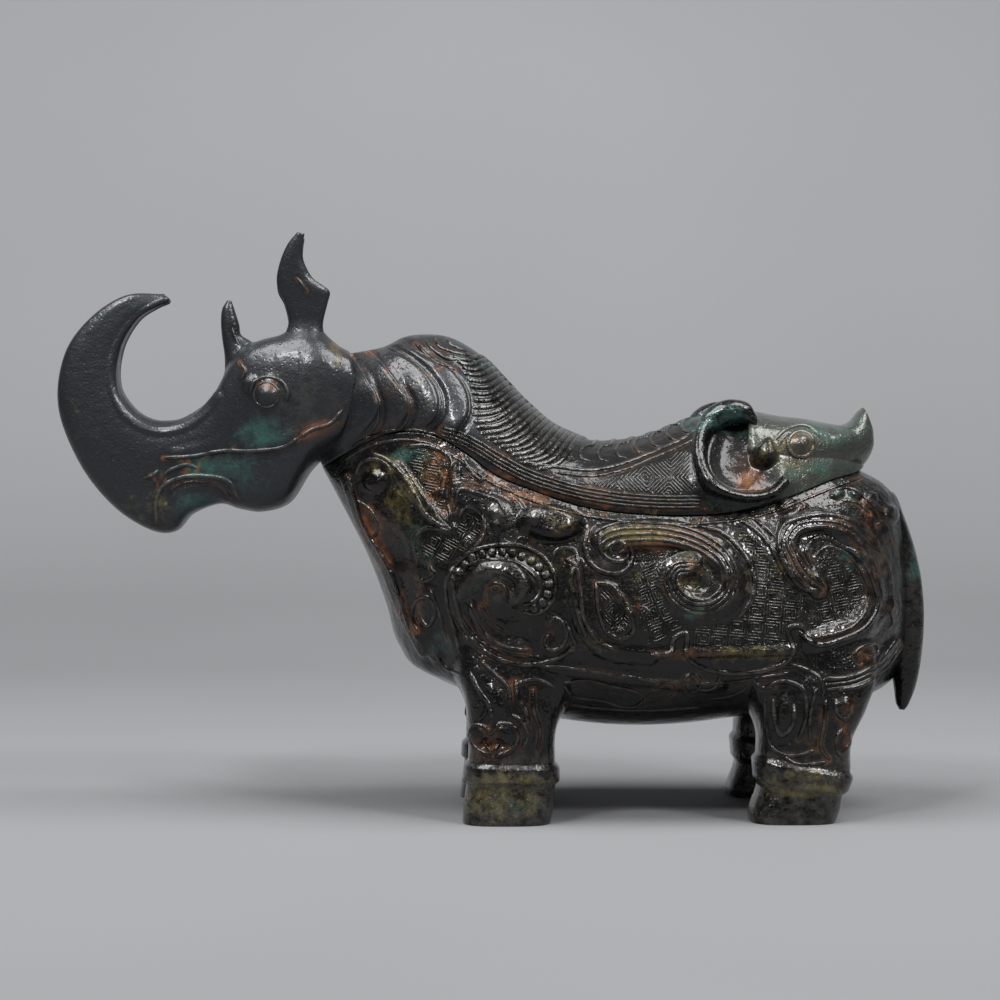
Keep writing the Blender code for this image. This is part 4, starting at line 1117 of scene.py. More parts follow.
# How much of the ground each tone hides at most; the groove's black is painted shade, and the worn tone is
# partly a painted highlight
FLECK_COVER = 0.5
GROOVE_SHADE_COVER = 0.65
GREEN_COVER = 0.7
OCHRE_COVER = 0.65
RUST_COVER = 0.85
RUB_AND_HIGHLIGHT_COVER = 0.55
DUST_COVER = 0.4
# How much a patch adds to the noise that breaks up its edge
PATCH_PULL = 0.26
# Rust: its share outside grooves, what a groove adds, and the groove in which it stains everywhere
RUST_OUTSIDE = 0.12
RUST_IN_GROOVE = 0.85
STAINED_GROOVE = (0.62, 0.95)
# Roughness: spread by flecks, added in grooves and on patches
FLECK_DULLNESS = (-0.05, 0.10)
GROOVE_DULLNESS = 0.35
PATCH_DULLNESS = 0.14
# Share of bare metal on clean ground and on rubbed tops, and the cover that hides it
BARE_METAL = 0.45
RUBBED_METAL = 0.5
METAL_HIDDEN = 0.8
# Wax over the bronze: its weight against the sheen, its roughness against the ground's
WAX = 2.4
WAX_SHINE = 0.5
# Fine roughness of the casting: depth of pits, waves and flecks
PIT_DEPTH = 0.20 * MM
WAVE_DEPTH = 0.80 * MM
FLECK_DEPTH = 0.40 * MM
BUMP_STRENGTH = 0.5

# The room: its colour, the light it gives and how bright it looks
ROOM_COLOUR = (0.95, 0.98, 1.02, 1.0)
ROOM_LIGHT = 0.09
ROOM_SEEN = 0.42
# The paper sweep: half width, places along its floor, radius of its bend, its top
SWEEP_HALF_WIDTH = 2.5
SWEEP_FLOOR = (-1.6, -0.3, 0.0, 0.2, 0.4, 0.55)
SWEEP_BEND = 0.5
SWEEP_BEND_STEPS = 24
SWEEP_TOP = 2.4
# Tone of the paper against the distance along it from under the object, graded as painted light so that it
# looks lighter up the backdrop, and its slight mottling
PAPER_TONES_WITH_PAINTED_LIGHT = ((-0.3, 0.17, 0.55, 0.72, 0.95, 1.25), (0.194, 0.229, 0.238, 0.226, 0.283, 0.335))
PAPER_TINT = (1.0, 1.01, 1.04)
PAPER_MOTTLE = 0.006
MOTTLE_NOISE = (3, 2, 0.6)
MOTTLE_SPAN = (0.3, 0.7)
PAPER_ROUGHNESS = 0.8
PAPER_SHEEN = 0.1
# Softboxes: name, place, aim, width and height, watts
LAMPS = [("overhead_left", (-0.50, -0.22, 1.2), (0.0, 0.0, 0.05), (0.70, 0.6), 14.0),
         ("overhead_right", (0.55, -0.22, 1.2), (0.0, 0.0, 0.05), (0.70, 0.6), 14.0),
         ("front_left", (-0.6, -1.0, 1.3), (0.0, 0.0, 0.1), (0.30, 0.3), 13.0),
         ("front_right", (0.8, -0.9, 1.1), (0.0, 0.0, 0.1), (0.25, 0.3), 9.0)]
SENSOR_WIDTH = 36.0

# Patches of patina: (centre, half axes, strength), strongest inside the first share of the axes
PATCH_EDGE = (0.35, 1.25)
GREEN_PATCHES_PX = [((262, 430), (34, 22), 1.0), ((225, 468), (66, 20), 0.9), ((200, 505), (36, 18), 0.9),
                    ((245, 480), (40, 26), 0.6), ((242, 345), (30, 14), 0.5), ((410, 455), (24, 12), 1.0),
                    ((425, 540), (20, 40), 0.5), ((480, 352), (50, 24), 0.5), ((700, 420), (60, 16), 0.8),
                    ((835, 430), (50, 24), 0.7), ((690, 610), (24, 12), 0.8), ((860, 560), (26, 26), 0.5),
                    ((730, 420), (40, 20), 0.8), ((850, 490), (40, 14), 0.5), ((505, 810), (50, 20), 0.4),
                    ((440, 650), (24, 20), 0.5), ((740, 505), (50, 10), 0.6), ((120, 310), (50, 16), 0.3),
                    ((918, 560), (12, 44), 0.9), ((818, 468), (40, 14), 0.8), ((862, 425), (14, 18), 0.6)]
OCHRE_PATCHES_PX = [((405, 500), (30, 44), 0.7), ((560, 520), (24, 18), 0.7), ((640, 534), (50, 14), 1.0),
                    ((385, 465), (24, 16), 0.7), ((500, 800), (60, 34), 0.8), ((800, 785), (60, 18), 0.7),
                    ((745, 655), (60, 10), 0.9), ((525, 555), (30, 14), 0.5), ((150, 505), (36, 22), 0.6),
                    ((80, 400), (12, 40), 0.4), ((690, 585), (18, 12), 0.8), ((590, 650), (40, 14), 0.4),
                    ((785, 455), (40, 30), 0.6), ((640, 560), (300, 90), 0.25), ((428, 470), (20, 30), 0.6),
                    ((505, 782), (60, 10), 1.0), ((808, 792), (60, 10), 1.0), ((336, 352), (10, 22), 0.8),
                    ((400, 390), (75, 55), 0.15)]
# Places worn bright, many of them painted highlights and sheen where the lamps catch the bronze
WORN_AND_HIGHLIGHT_PATCHES_PX = [((500, 515), (14, 18), 1.0), ((497, 575), (22, 9), 0.8), ((536, 514), (10, 7), 0.8),
                     ((602, 566), (14, 10), 0.7), ((455, 490), (4, 26), 0.9), ((670, 578), (7, 8), 0.9),
                     ((752, 586), (6, 12), 0.9), ((813, 572), (8, 22), 0.7), ((425, 385), (20, 22), 0.3),
                     ((868, 462), (10, 12), 0.7), ((886, 560), (14, 40), 0.6), ((800, 572), (100, 80), 0.32),
                     ((690, 575), (70, 60), 0.2), ((918, 590), (16, 70), 0.4), ((305, 400), (36, 40), 0.3)]
RUST_PATCHES_PX = [((355, 350), (40, 14), 1.0), ((400, 390), (75, 60), 0.5), ((440, 480), (20, 44), 0.8),
                   ((490, 480), (40, 14), 0.9), ((530, 497), (40, 10), 1.0), ((375, 540), (30, 60), 0.8),
                   ((320, 430), (30, 16), 0.9), ((752, 484), (28, 18), 0.75), ((802, 444), (22, 22), 0.9),
                   ((650, 548), (36, 10), 1.0), ((690, 655), (60, 8), 1.0), ((870, 540), (36, 44), 0.5),
                   ((600, 510), (160, 8), 0.4), ((850, 730), (16, 40), 0.6), ((488, 745), (24, 22), 0.9),
                   ((410, 600), (20, 60), 0.7), ((268, 385), (18, 12), 0.7), ((870, 654), (16, 10), 0.6)]


def patches(u, v, spots):
    """How strongly patches cover each place, from 0 to 1."""
    cover = np.zeros(len(u))
    for (cu, cv), (ru, rv), strength in spots:
        r = np.hypot((u - cu) / ru, (v - cv) / rv)
        cover = np.maximum(cover, strength * (1 - soft_step(*PATCH_EDGE, r)))
    return cover


def paint(mesh, groove_shade_and_rust, rubbed_and_highlight):
    """Store where a skin is green, ochre and rusty, how deep in a groove it is, for rust and painted shade,
    and how worn bright, partly as a painted highlight.
    """
    u, v = seen_from_left(places(mesh))
    set_attribute(mesh, "green", patches(u, v, GREEN_PATCHES_PX))
    set_attribute(mesh, "ochre", patches(u, v, OCHRE_PATCHES_PX))
    set_attribute(mesh, "rust", patches(u, v, RUST_PATCHES_PX))
    set_attribute(mesh, "groove_shade_and_rust", groove_shade_and_rust)
    set_attribute(mesh, "rubbed_and_highlight", np.maximum(rubbed_and_highlight, patches(u, v, WORN_AND_HIGHLIGHT_PATCHES_PX)))


def evenly(mesh, value=0.0):
    """The same value at every point of a mesh."""
    return np.full(len(mesh.vertices), value)


def groove_near(mesh, threads, reach=GROOVE_REACH):
    """How close each point of a skin is to a raised thread, where rust collects and shade is painted."""
    tree = kdtree.KDTree(len(threads.points))
    for i, point in enumerate(threads.points):
        tree.insert(point, i)
    tree.balance()
    gaps = np.array([tree.find(p)[2] for p in places(mesh).tolist()])
    return np.exp(-(gaps / reach) ** 2)


def paint_threads(mesh, rub_and_highlight):
    """Threads are worn bright on top, partly as a painted highlight, and darkened at their foot with painted
    shade and rust.
    """
    facing = np.empty(len(mesh.vertices) * 3, np.float32)
    mesh.attributes["facing"].data.foreach_get("vector", facing)
    up = (normals(mesh) * facing.reshape(-1, 3)).sum(axis=1)
    paint(mesh, 1 - soft_step(*THREAD_FOOT, up), rub_and_highlight * soft_step(*THREAD_TOP, up))


class Shader:
    """Short names for building a material's nodes."""

    def __init__(self, name):
        self.material = bpy.data.materials.new(name)
        self.material.use_nodes = True
        self.tree = self.material.node_tree
        self.principled = self.tree.nodes["Principled BSDF"]
        self.coordinates = self.tree.nodes.new("ShaderNodeTexCoord").outputs["Object"]

    def link(self, value, socket):
        """Link an output, or set a number or a colour, on a socket."""
        if isinstance(value, bpy.types.NodeSocket):
            self.tree.links.new(value, socket)
        else:
            socket.default_value = (*value, 1.0) if isinstance(value, tuple) else value

    def noise(self, scale, detail, roughness):
        node = self.tree.nodes.new("ShaderNodeTexNoise")
        self.link(self.coordinates, node.inputs["Vector"])
        node.inputs["Scale"].default_value = scale
        node.inputs["Detail"].default_value = detail
        node.inputs["Roughness"].default_value = roughness
        return node.outputs["Fac"]

    def pits(self, scale):
        node = self.tree.nodes.new("ShaderNodeTexVoronoi")
        self.link(self.coordinates, node.inputs["Vector"])
        node.inputs["Scale"].default_value = scale
        return node.outputs["Distance"]

    def attribute(self, name):
        node = self.tree.nodes.new("ShaderNodeAttribute")
        node.attribute_name = name
        return node.outputs["Fac"]

    def spread(self, name, noise, most):
        """A patch that breaks up into specks towards its edge."""
        pull = self.math("MULTIPLY", self.attribute(name), PATCH_PULL)
        grain = self.math("ADD", self.noise(*noise), pull)
        return self.ramp(grain, *PATCH_SPAN, 0.0, most)

    def ramp(self, value, low, high, start=0.0, end=1.0):
        node = self.tree.nodes.new("ShaderNodeMapRange")
        self.link(value, node.inputs["Value"])
        node.inputs["From Min"].default_value = low
        node.inputs["From Max"].default_value = high
        node.inputs["To Min"].default_value = start
        node.inputs["To Max"].default_value = end
        return node.outputs["Result"]

    def math(self, kind, a, b):
        node = self.tree.nodes.new("ShaderNodeMath")
        node.operation = kind
        self.link(a, node.inputs[0])
        self.link(b, node.inputs[1])
        return node.outputs["Value"]

    def mix(self, share, a, b):
        node = self.tree.nodes.new("ShaderNodeMix")
        node.data_type = "RGBA"
        self.link(share, node.inputs["Factor"])
        self.link(a, node.inputs["A"])
        self.link(b, node.inputs["B"])
        return node.outputs["Result"]

    def bump(self, height, distance, normal=None):
        node = self.tree.nodes.new("ShaderNodeBump")
        node.inputs["Strength"].default_value = BUMP_STRENGTH
        node.inputs["Distance"].default_value = distance
        self.link(height, node.inputs["Height"])
        if normal:
            self.link(normal, node.inputs["Normal"])
        return node.outputs["Normal"]


def bronze(name, ground, brown, sheen, roughness, grain, stain, tints=()):
    """Waxed cast bronze: brown bloom, green and ochre patches, rusty grooves darkened with painted shade,
    tops worn bright and partly painted as highlights, specks of dust.
    """
    s = Shader(name)
    for place, tint in tints:
        ground = s.mix(s.attribute(place), ground, tint)
    fleck = s.noise(*FLECK_NOISE)
    speck = s.noise(*SPECK_NOISE)
    groove_shade_and_rust = s.attribute("groove_shade_and_rust")

    colour = s.mix(s.ramp(s.noise(*CLOUD_NOISE), *CLOUD_SPAN, 0.0, brown), ground, BRONZE_BROWN)
    colour = s.mix(s.ramp(fleck, *FLECK_SPAN, 0.0, FLECK_COVER), colour, BRONZE_BLACK_AND_SHADE)
    # Painted shade: grooves beside threads and leiwen, thread feet and the ear's cup are darkened towards
    # black
    colour = s.mix(s.math("MULTIPLY", groove_shade_and_rust, GROOVE_SHADE_COVER), colour, BRONZE_BLACK_AND_SHADE)
    green = s.spread("green", GREEN_NOISE, GREEN_COVER)
    colour = s.mix(green, colour, VERDIGRIS)
    ochre = s.spread("ochre", OCHRE_NOISE, OCHRE_COVER)
    colour = s.mix(ochre, colour, OCHRE)
    deep = s.math("ADD", s.math("MULTIPLY", groove_shade_and_rust, RUST_IN_GROOVE), RUST_OUTSIDE)
    stained = s.ramp(groove_shade_and_rust, *STAINED_GROOVE, 0.0, stain)
    stained = s.math("MULTIPLY", stained, s.ramp(s.noise(*STAIN_NOISE), *STAIN_SPAN))
    rusty = s.math("MULTIPLY", s.spread("rust", RUST_NOISE, RUST_COVER), deep)
    rusty = s.math("ADD", rusty, stained)
    colour = s.mix(rusty, colour, RUST)
    # Worn tops and patches are lightened, partly as painted highlights and glints
    rubbed_and_highlight = s.ramp(s.noise(*RUB_AND_HIGHLIGHT_NOISE), *RUB_AND_HIGHLIGHT_SPAN, 0.0, RUB_AND_HIGHLIGHT_COVER)
    rubbed_and_highlight = s.math("MULTIPLY", s.attribute("rubbed_and_highlight"), rubbed_and_highlight)
    colour = s.mix(rubbed_and_highlight, colour, BRONZE_WORN_AND_HIGHLIGHT)
    colour = s.mix(s.ramp(speck, *SPECK_SPAN, 0.0, DUST_COVER), colour, DUST)
    s.link(colour, s.principled.inputs["Base Color"])

    patchy = s.math("ADD", green, ochre)
    dull = s.ramp(fleck, *DULL_SPAN, *(roughness + change for change in FLECK_DULLNESS))
    dull = s.math("ADD", dull, s.math("MULTIPLY", groove_shade_and_rust, GROOVE_DULLNESS))
    dull = s.math("ADD", dull, s.math("MULTIPLY", patchy, PATCH_DULLNESS))
    s.link(dull, s.principled.inputs["Roughness"])
    metal = s.ramp(s.math("ADD", patchy, rusty), 0.0, METAL_HIDDEN, BARE_METAL, 0.0)
    metal = s.math("ADD", metal, s.math("MULTIPLY", rubbed_and_highlight, RUBBED_METAL))
    s.link(metal, s.principled.inputs["Metallic"])
    s.principled.inputs["Specular IOR Level"].default_value = sheen
    s.principled.inputs["Coat Weight"].default_value = sheen * WAX
    s.principled.inputs["Coat Roughness"].default_value = roughness * WAX_SHINE

    pitted = s.bump(s.ramp(s.pits(PIT_SCALE), *PIT_SPAN), PIT_DEPTH * grain)
    wavy = s.bump(s.noise(*WAVE_NOISE), WAVE_DEPTH * grain, pitted)
    flecked = s.bump(s.math("ADD", speck, fleck), FLECK_DEPTH * grain, wavy)
    s.link(flecked, s.principled.inputs["Normal"])
    s.link(wavy, s.principled.inputs["Coat Normal"])
    return s.material


def add_piece(name, mesh, finish, body, slot, *nodes):
    """Put a finished mesh in the scene, on its body, in place of the frame's nodes."""
    mesh.materials.clear()
    mesh.materials.append(finish)
    item = bpy.data.objects.new(name, mesh)
    bpy.context.scene.collection.objects.link(item)
    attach(item, body)
    if nodes:
        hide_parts(*nodes)


def stations(count):
    """Places from 0 to 1, a little closer together at both ends."""
    even = np.linspace(0, 1, count)
    return (1 - END_CLOSENESS) * even + END_CLOSENESS * (1 - np.cos(math.pi * even)) / 2


def shrunk(x, half, z, wall, lift):
    """A ring's points moved in by a wall."""
    middle = (x[0] + x[-1]) / 2
    reach = abs(x[-1] - x[0]) / 2
    return ring_of(middle + (x - middle) * (1 - wall / reach), np.maximum(half - wall, 0.0), z + lift)


def vessel_skin():
    """The hollow body: up its outside from keel to rim, and down its inside."""
    along, below, above, within = VESSEL_FINENESS
    share = stations(along)
    low = BULGE_LEVEL * (1 - np.cos(np.linspace(0, math.pi / 2, below)))
    levels = np.concatenate([low, np.linspace(BULGE_LEVEL, 1.0, above)[1:]])
    rings = [ring_of(*vessel_points(share, level)) for level in levels]
    for level in np.linspace(1.0, 0.0, within):
        x, half, z = vessel_points(share, level)
        rings.append(shrunk(x, half, z, VESSEL_WALL, VESSEL_WALL * (1 - level)))
    return skin_mesh("vessel_body", rings)


def lid_skin():
    """The hollow lid: down its inside from ridge to rim, and up its outside."""
    along, outside, within = LID_FINENESS
    share = stations(along)
    rings = []
    for level in np.sin(np.linspace(math.pi / 2, 0, within)):
        x, half, z = lid_points(share, level)
        rings.append(shrunk(x, half, z, LID_WALL, -LID_WALL * level))
    for level in np.sin(np.linspace(0, math.pi / 2, outside)):
        rings.append(ring_of(*lid_points(share, level)))
    return skin_mesh("lid_shell", rings)


def rung_skin(name, rungs, squareness, sides=SKIN_SIDES):
    """A fine skin over a run of rungs."""
    middle = np.array([((r[0] + r[2]) / 2, (r[1] + r[3]) / 2) for r in rungs])
    spacing = np.linalg.norm(np.diff(middle, axis=0), axis=1).mean()
    steps = max(LEAST_SKIN_STEPS, int(spacing / SKIN_STEP))
    return skin_mesh(name, rung_rings(rungs, steps, sides, squareness), (True, True))


def leg_skin(name, rungs, side):
    """A leg with its band."""
    centre = BODY_HALF_WIDTH - LEG_INSET - LEG_HALF_WIDTH
    placed = [(*edges, LEG_HALF_WIDTH * share, side * (centre - tuck)) for *edges, share, tuck in rungs]
    rings = rung_rings(placed, LEG_SKIN_STEPS, SKIN_SIDES, LEG_SQUARENESS)
    for number, ring in enumerate(rings):
        off = abs(number / LEG_SKIN_STEPS - LEG_BAND_AT)
        swell = LEG_BAND_SWELL * soft_step(LEG_BAND_SPAN, LEG_BAND_SPAN * LEG_BAND_FLAT, off)
        outward = ring - ring.mean(axis=0)
        ring[:, :2] += swell * outward[:, :2] / np.linalg.norm(outward[:, :2], axis=1, keepdims=True)
    return skin_mesh(name, rings, (True, True))


def flow_into(mesh, tree, reach, hollow_about=None):
    """Swell a casting where it meets a neighbour, so that the two run together in a soft fillet."""
    points, facing = places(mesh), normals(mesh)
    swell = np.zeros(len(points))
    for i, point in enumerate(points.tolist()):
        spot, _, _, gap = tree.find_nearest(point, reach)
        if spot is not None:
            swell[i] = (reach - gap) ** 2 / (4 * reach)
    if hollow_about is not None:
        from_middle = points - np.array([0.0, 0.0, hollow_about])
        from_middle[:, 0] = 0.0
        swell *= (facing * from_middle).sum(axis=1) > 0
    move(mesh, points + facing * swell[:, None])


def sink_into(mesh, tree):
    """Bring points that are deep inside another casting back to just under its skin."""
    points = places(mesh)
    for i, point in enumerate(points):
        place, normal, _, _ = tree.find_nearest(Vector(point))
        off = Vector(point) - place
        if off.dot(normal) < -HIDDEN_DEPTH:
            points[i] = place - normal * HIDDEN_DEPTH
    move(mesh, points)


def thread_piece(name, threads, finish, body, slot, sides=THREAD_SIDES, rub_and_highlight=THREAD_RUB_AND_HIGHLIGHT):
    """Raised threads swept along their guide lines, as a piece."""
    guide = guide_mesh(threads.points, threads.edges, threads.girth, threads.facing)
    mesh = grown(name, guide, THREAD_TREE, {"Sides": sides, "Finish": finish})
    paint_threads(mesh, rub_and_highlight)
    add_piece(name, mesh, finish, body, slot)


def stamp_piece(name, stamp, spots, finish, body, slot):
    """Stamps set on their spots, as a piece."""
    mesh = stamped(name, STAMP_TREE, stamp, spots, finish)
    paint(mesh, evenly(mesh, SCALE_DIRT), SCALE_RUB * soft_step(*SCALE_TOP, np.abs(normals(mesh)[:, 1])))
    add_piece(name, mesh, finish, body, slot)


def threads_over(tree, lines, girth=1.0):
    """Threads along lines of (line, radius in millimetres)."""
    threads = Threads()
    for line, radius in lines:
        threads.add_line(tree, line, radius * girth * MM)
    return threads


def add_ribbons(threads, tree, ribbons):
    for line, wide, narrow, count, radius in ribbons:
        for run in ribbon_lines(line, wide, narrow, count):
            threads.add_pixels(tree, run, radius * MM, THREAD_BURY)


def leiwen_over(tree, fields, cell):
    """Threads of leiwen over fields of (outline, turn)."""
    threads = Threads()
    for field, turn in fields:
        for line in leiwen_lines(field, cell, LEIWEN_LINE_PX, turn):
            threads.add_pixels(tree, line, LEIWEN_RADIUS, LEIWEN_BURY)
    return threads


def flank_height(u, v):
    return dome_height(u, v, FLANK_DOMES_PX) + band_height(u, v, FLANK_BANDS_PX)


def leg_height(u, v):
    return dome_height(u, v, LEG_DOMES_PX)


def lid_height(u, v):
    return dome_height(u, v, LID_DOMES_PX) - band_height(u, v, NECK_CUTS_PX)


def mask_height(u, v):
    return dome_height(u, v, MASK_DOMES_PX)


def head_height(u, v):
    raised = dome_height(u, v, HEAD_DOMES_PX) + band_height(u, v, HEAD_BANDS_PX)
    return raised - band_height(u, v, HEAD_HOLLOWS_PX)


THREAD_TREE = thread_tree()
STAMP_TREE = stamp_tree()
LID_TINTS = (("neck", BRONZE_STEEL), ("under_mask", BRONZE_GREEN))
DARK = bronze("black_bronze_patina", BRONZE_DARK,
              brown=0.20, sheen=0.25, roughness=0.18, grain=1.5, stain=0.36)
STEEL = bronze("blue_grey_bronze_patina", BRONZE_STEEL,
               brown=0.15, sheen=0.24, roughness=0.46, grain=0.8, stain=0.70)
TWO_TONE = bronze("black_and_grey_bronze_patina", BRONZE_DARK,
                  brown=0.12, sheen=0.24, roughness=0.36, grain=1.0, stain=0.35, tints=LID_TINTS)
MASK = bronze("green_grey_bronze_patina", BRONZE_GREEN,
              brown=0.50, sheen=0.30, roughness=0.34, grain=1.3, stain=0.60)
HANDS = (("left", -1), ("right", 1))


def dress_vessel():
    """The hollow body, its legs and its tail, flowing together, with one relief over them."""
    body = vessel_skin()
    tail = rung_skin("tail", sized(TAIL_RUNGS, TAIL_HALF_WIDTH), PLATE_SQUARENESS, SMALL_SKIN_SIDES)
    legs = {}
    for end, rungs in (("front", FRONT_LEG_RUNGS), ("rear", REAR_LEG_RUNGS)):
        for hand, side in HANDS:
            legs[f"{end}_{hand}_leg"] = leg_skin(f"{end}_{hand}_leg", rungs, side)
    bare = surface_tree(body)
    flow_into(body, surface_tree(*legs.values()), LEG_FILLET, VESSEL_MIDDLE)
    flow_into(body, surface_tree(tail), TAIL_FILLET, VESSEL_MIDDLE)
    for limb, fillet in [(leg, LEG_FILLET) for leg in legs.values()] + [(tail, TAIL_FILLET)]:
        flow_into(limb, bare, fillet)
        sink_into(limb, bare)
    raise_relief(body, flank_height)
    for leg in legs.values():
        raise_relief(leg, leg_height)

    tree = surface_tree(body, legs["front_left_leg"], legs["rear_left_leg"])
    threads = threads_over(tree, FLANK_THREADS_PX, FLANK_GIRTH)
    threads.add_line(tree, UNDER_SEAM_PX, UNDER_SEAM_RADIUS)
    add_ribbons(threads, tree, FLANK_RIBBONS_PX)
    leg_threads = threads_over(tree, FRONT_LEG_THREADS_PX + REAR_LEG_THREADS_PX, LEG_GIRTH)
    leiwen = leiwen_over(tree, FLANK_LEIWEN_PX, FLANK_LEIWEN_CELL_PX)
    for name, skin in [("vessel_body", body), ("tail", tail), *legs.items()]:
        # Painted shade and rust beside the threads and the leiwen
        near = np.maximum.reduce([groove_near(skin, threads), groove_near(skin, leg_threads),
                                  LEIWEN_SHADE_AND_RUST * groove_near(skin, leiwen, LEIWEN_GROOVE_REACH)])
        bossed = soft_step(*BOSS_FADE, flank_height(*seen_from_left(places(skin))))
        hoof = HOOF_RUB * soft_step(*HOOF_FADE, places(skin)[:, 2])
        paint(skin, near, np.maximum(hoof, BOSS_RUB * bossed * (1 - near)))
        add_piece(f"{name}_casting", skin, DARK, "vessel", "dark_bronze", name)
    thread_piece("flank_relief", threads, DARK, "vessel", "dark_bronze")
    thread_piece("leg_relief", leg_threads, DARK, "vessel", "dark_bronze")
    thread_piece("flank_leiwen", leiwen, DARK, "vessel", "dark_bronze", LEIWEN_SIDES, LEIWEN_RUB_AND_GLINT)
    spots = row_spots(tree, FLANK_SCALES_PX, FLANK_SCALE_COUNT)
    stamp_piece("shoulder_scales", scale_stamp(*SCALE_SIZE), spots, DARK, "vessel", "dark_bronze")


def mask_ear_rungs(side):
    """The C-shaped ear's rungs, fattened about their middle and set on the lid's side."""
    standing = []
    for number, (x1, z1, x2, z2) in enumerate(MASK_EAR_RUNGS):
        x, z = (x1 + x2) / 2, (z1 + z2) / 2
        fat = float(np.interp(number, *MASK_EAR_FATNESS))
        dx, dz = (x1 - x2) / 2 * fat, (z1 - z2) / 2 * fat
        stand = side * (lid_side_at(x, z) + MASK_EAR_STAND)
        standing.append((x + dx, z + dz, x - dx, z - dz, MASK_EAR_HALF_WIDTH, stand))
    return standing


def mane_threads(tree):
    """The mane's strands, across the back."""
    threads = Threads()
    for line in mane_lines():
        threads.add_pixels(tree, smooth_line(line, THREAD_STEP_PX), MANE_RADIUS, MANE_BURY, crossing=True)
    return threads


def scale_threads(tree):
    """The scales along the back, each one's curve carried across."""
    threads = Threads()
    for u, v in BACK_SCALES_PX:
        line = smooth_line([(u + du, v + dv) for du, dv in BACK_SCALE_PX], THREAD_STEP_PX)
        threads.add_pixels(tree, line, BACK_SCALE_RADIUS, THREAD_BURY, crossing=True)
    return threads


def dress_lid():
    """The lid's shell and the mask on its rear, flowing together."""
    skin = lid_skin()
    mask = rung_skin("rear_mask", sized(MASK_RUNGS, MOUTH_HALF_WIDTH), HEAD_SQUARENESS)
    ears = {}
    for hand, side in HANDS:
        ears[hand] = rung_skin(f"mask_{hand}_ear", mask_ear_rungs(side), PLATE_SQUARENESS, SMALL_SKIN_SIDES)
    bare = surface_tree(skin)
    flow_into(skin, surface_tree(mask), MASK_FILLET, LID_MIDDLE)
    flow_into(skin, surface_tree(*ears.values()), EAR_FILLET, LID_MIDDLE)
    flow_into(mask, bare, MASK_FILLET)
    raise_relief(skin, lid_height)
    raise_relief(mask, mask_height)

    tree = surface_tree(skin)
    borders = threads_over(tree, LID_THREADS_PX, LID_GIRTH)
    add_ribbons(borders, tree, LID_RIBBONS_PX)
    folds = threads_over(tree, NECK_EDGES_PX)
    mane = mane_threads(tree)
    scales = scale_threads(tree)
    leiwen = leiwen_over(tree, LID_LEIWEN_PX, LID_LEIWEN_CELL_PX)
    u, v = seen_from_left(places(skin))
    # Painted shade and rust beside the lid's threads, scales, leiwen and fold edges, and in the ear's cup
    near = np.maximum.reduce([groove_near(skin, borders), groove_near(skin, scales),
                              LEIWEN_SHADE_AND_RUST * groove_near(skin, leiwen, LEIWEN_GROOVE_REACH),
                              patches(u, v, EAR_CUP_SHADE_AND_RUST_PX), groove_near(skin, folds, FOLD_GROOVE_REACH)])
    paint(skin, near, evenly(skin))
    set_attribute(skin, "neck", 1 - soft_step(*NECK_GREY_PX, u))
    set_attribute(skin, "under_mask", soft_step(*MASK_GREEN_PX, u))
    add_piece("lid_casting", skin, TWO_TONE, "lid", "dark_bronze", "lid_shell")
    thread_piece("lid_borders", borders, DARK, "lid", "dark_bronze")
    thread_piece("neck_fold_edges", folds, STEEL, "lid", "dark_bronze")
    thread_piece("mane", mane, DARK, "lid", "dark_bronze")
    thread_piece("lid_leiwen", leiwen, DARK, "lid", "dark_bronze", LEIWEN_SIDES, LEIWEN_RUB_AND_GLINT)
    thread_piece("back_scales", scales, DARK, "lid", "dark_bronze")

    brows = threads_over(surface_tree(mask), MASK_THREADS_PX, MASK_GIRTH)
    # Painted shade and rust beside the mask's threads
    paint(mask, groove_near(mask, brows, MASK_GROOVE_REACH), evenly(mask))
    add_piece("rear_mask_casting", mask, MASK, "lid", "green_bronze", "rear_mask")
    thread_piece("rear_mask_relief", brows, MASK, "lid", "green_bronze")
    for hand, ear in ears.items():
        paint(ear, evenly(ear, MASK_EAR_DIRT), evenly(ear))
        add_piece(f"mask_{hand}_ear_casting", ear, DARK, "lid", "green_bronze", f"mask_{hand}_ear")


def round_the_cheek(mesh):
    """Bow the head's rear edge backwards, highest at half height."""
    points = places(mesh)
    level = (points[:, 2] - CHEEK_MIDDLE) / CHEEK_HALF_HEIGHT
    bow = CHEEK_BOW * np.maximum(0.0, 1 - level ** 2)
    points[:, 0] += bow * soft_step(CHEEK_FROM, HEAD_RUNGS[0][0], points[:, 0])
    move(mesh, points)


def ear_rungs(side, shift):
    """An ear's rungs, leaning outwards from the crown."""
    leaning = []
    for x1, z1, x2, z2, half in with_tang(sized(EAR_RUNGS, EAR_HALF_THICKNESS), EAR_TANG):
        spread = EAR_BASE_SPREAD + EAR_LEAN * (z1 - EAR_RUNGS[0][1])
        leaning.append((x1 + shift, z1, x2 + shift, z2, half, side * spread))
    return leaning


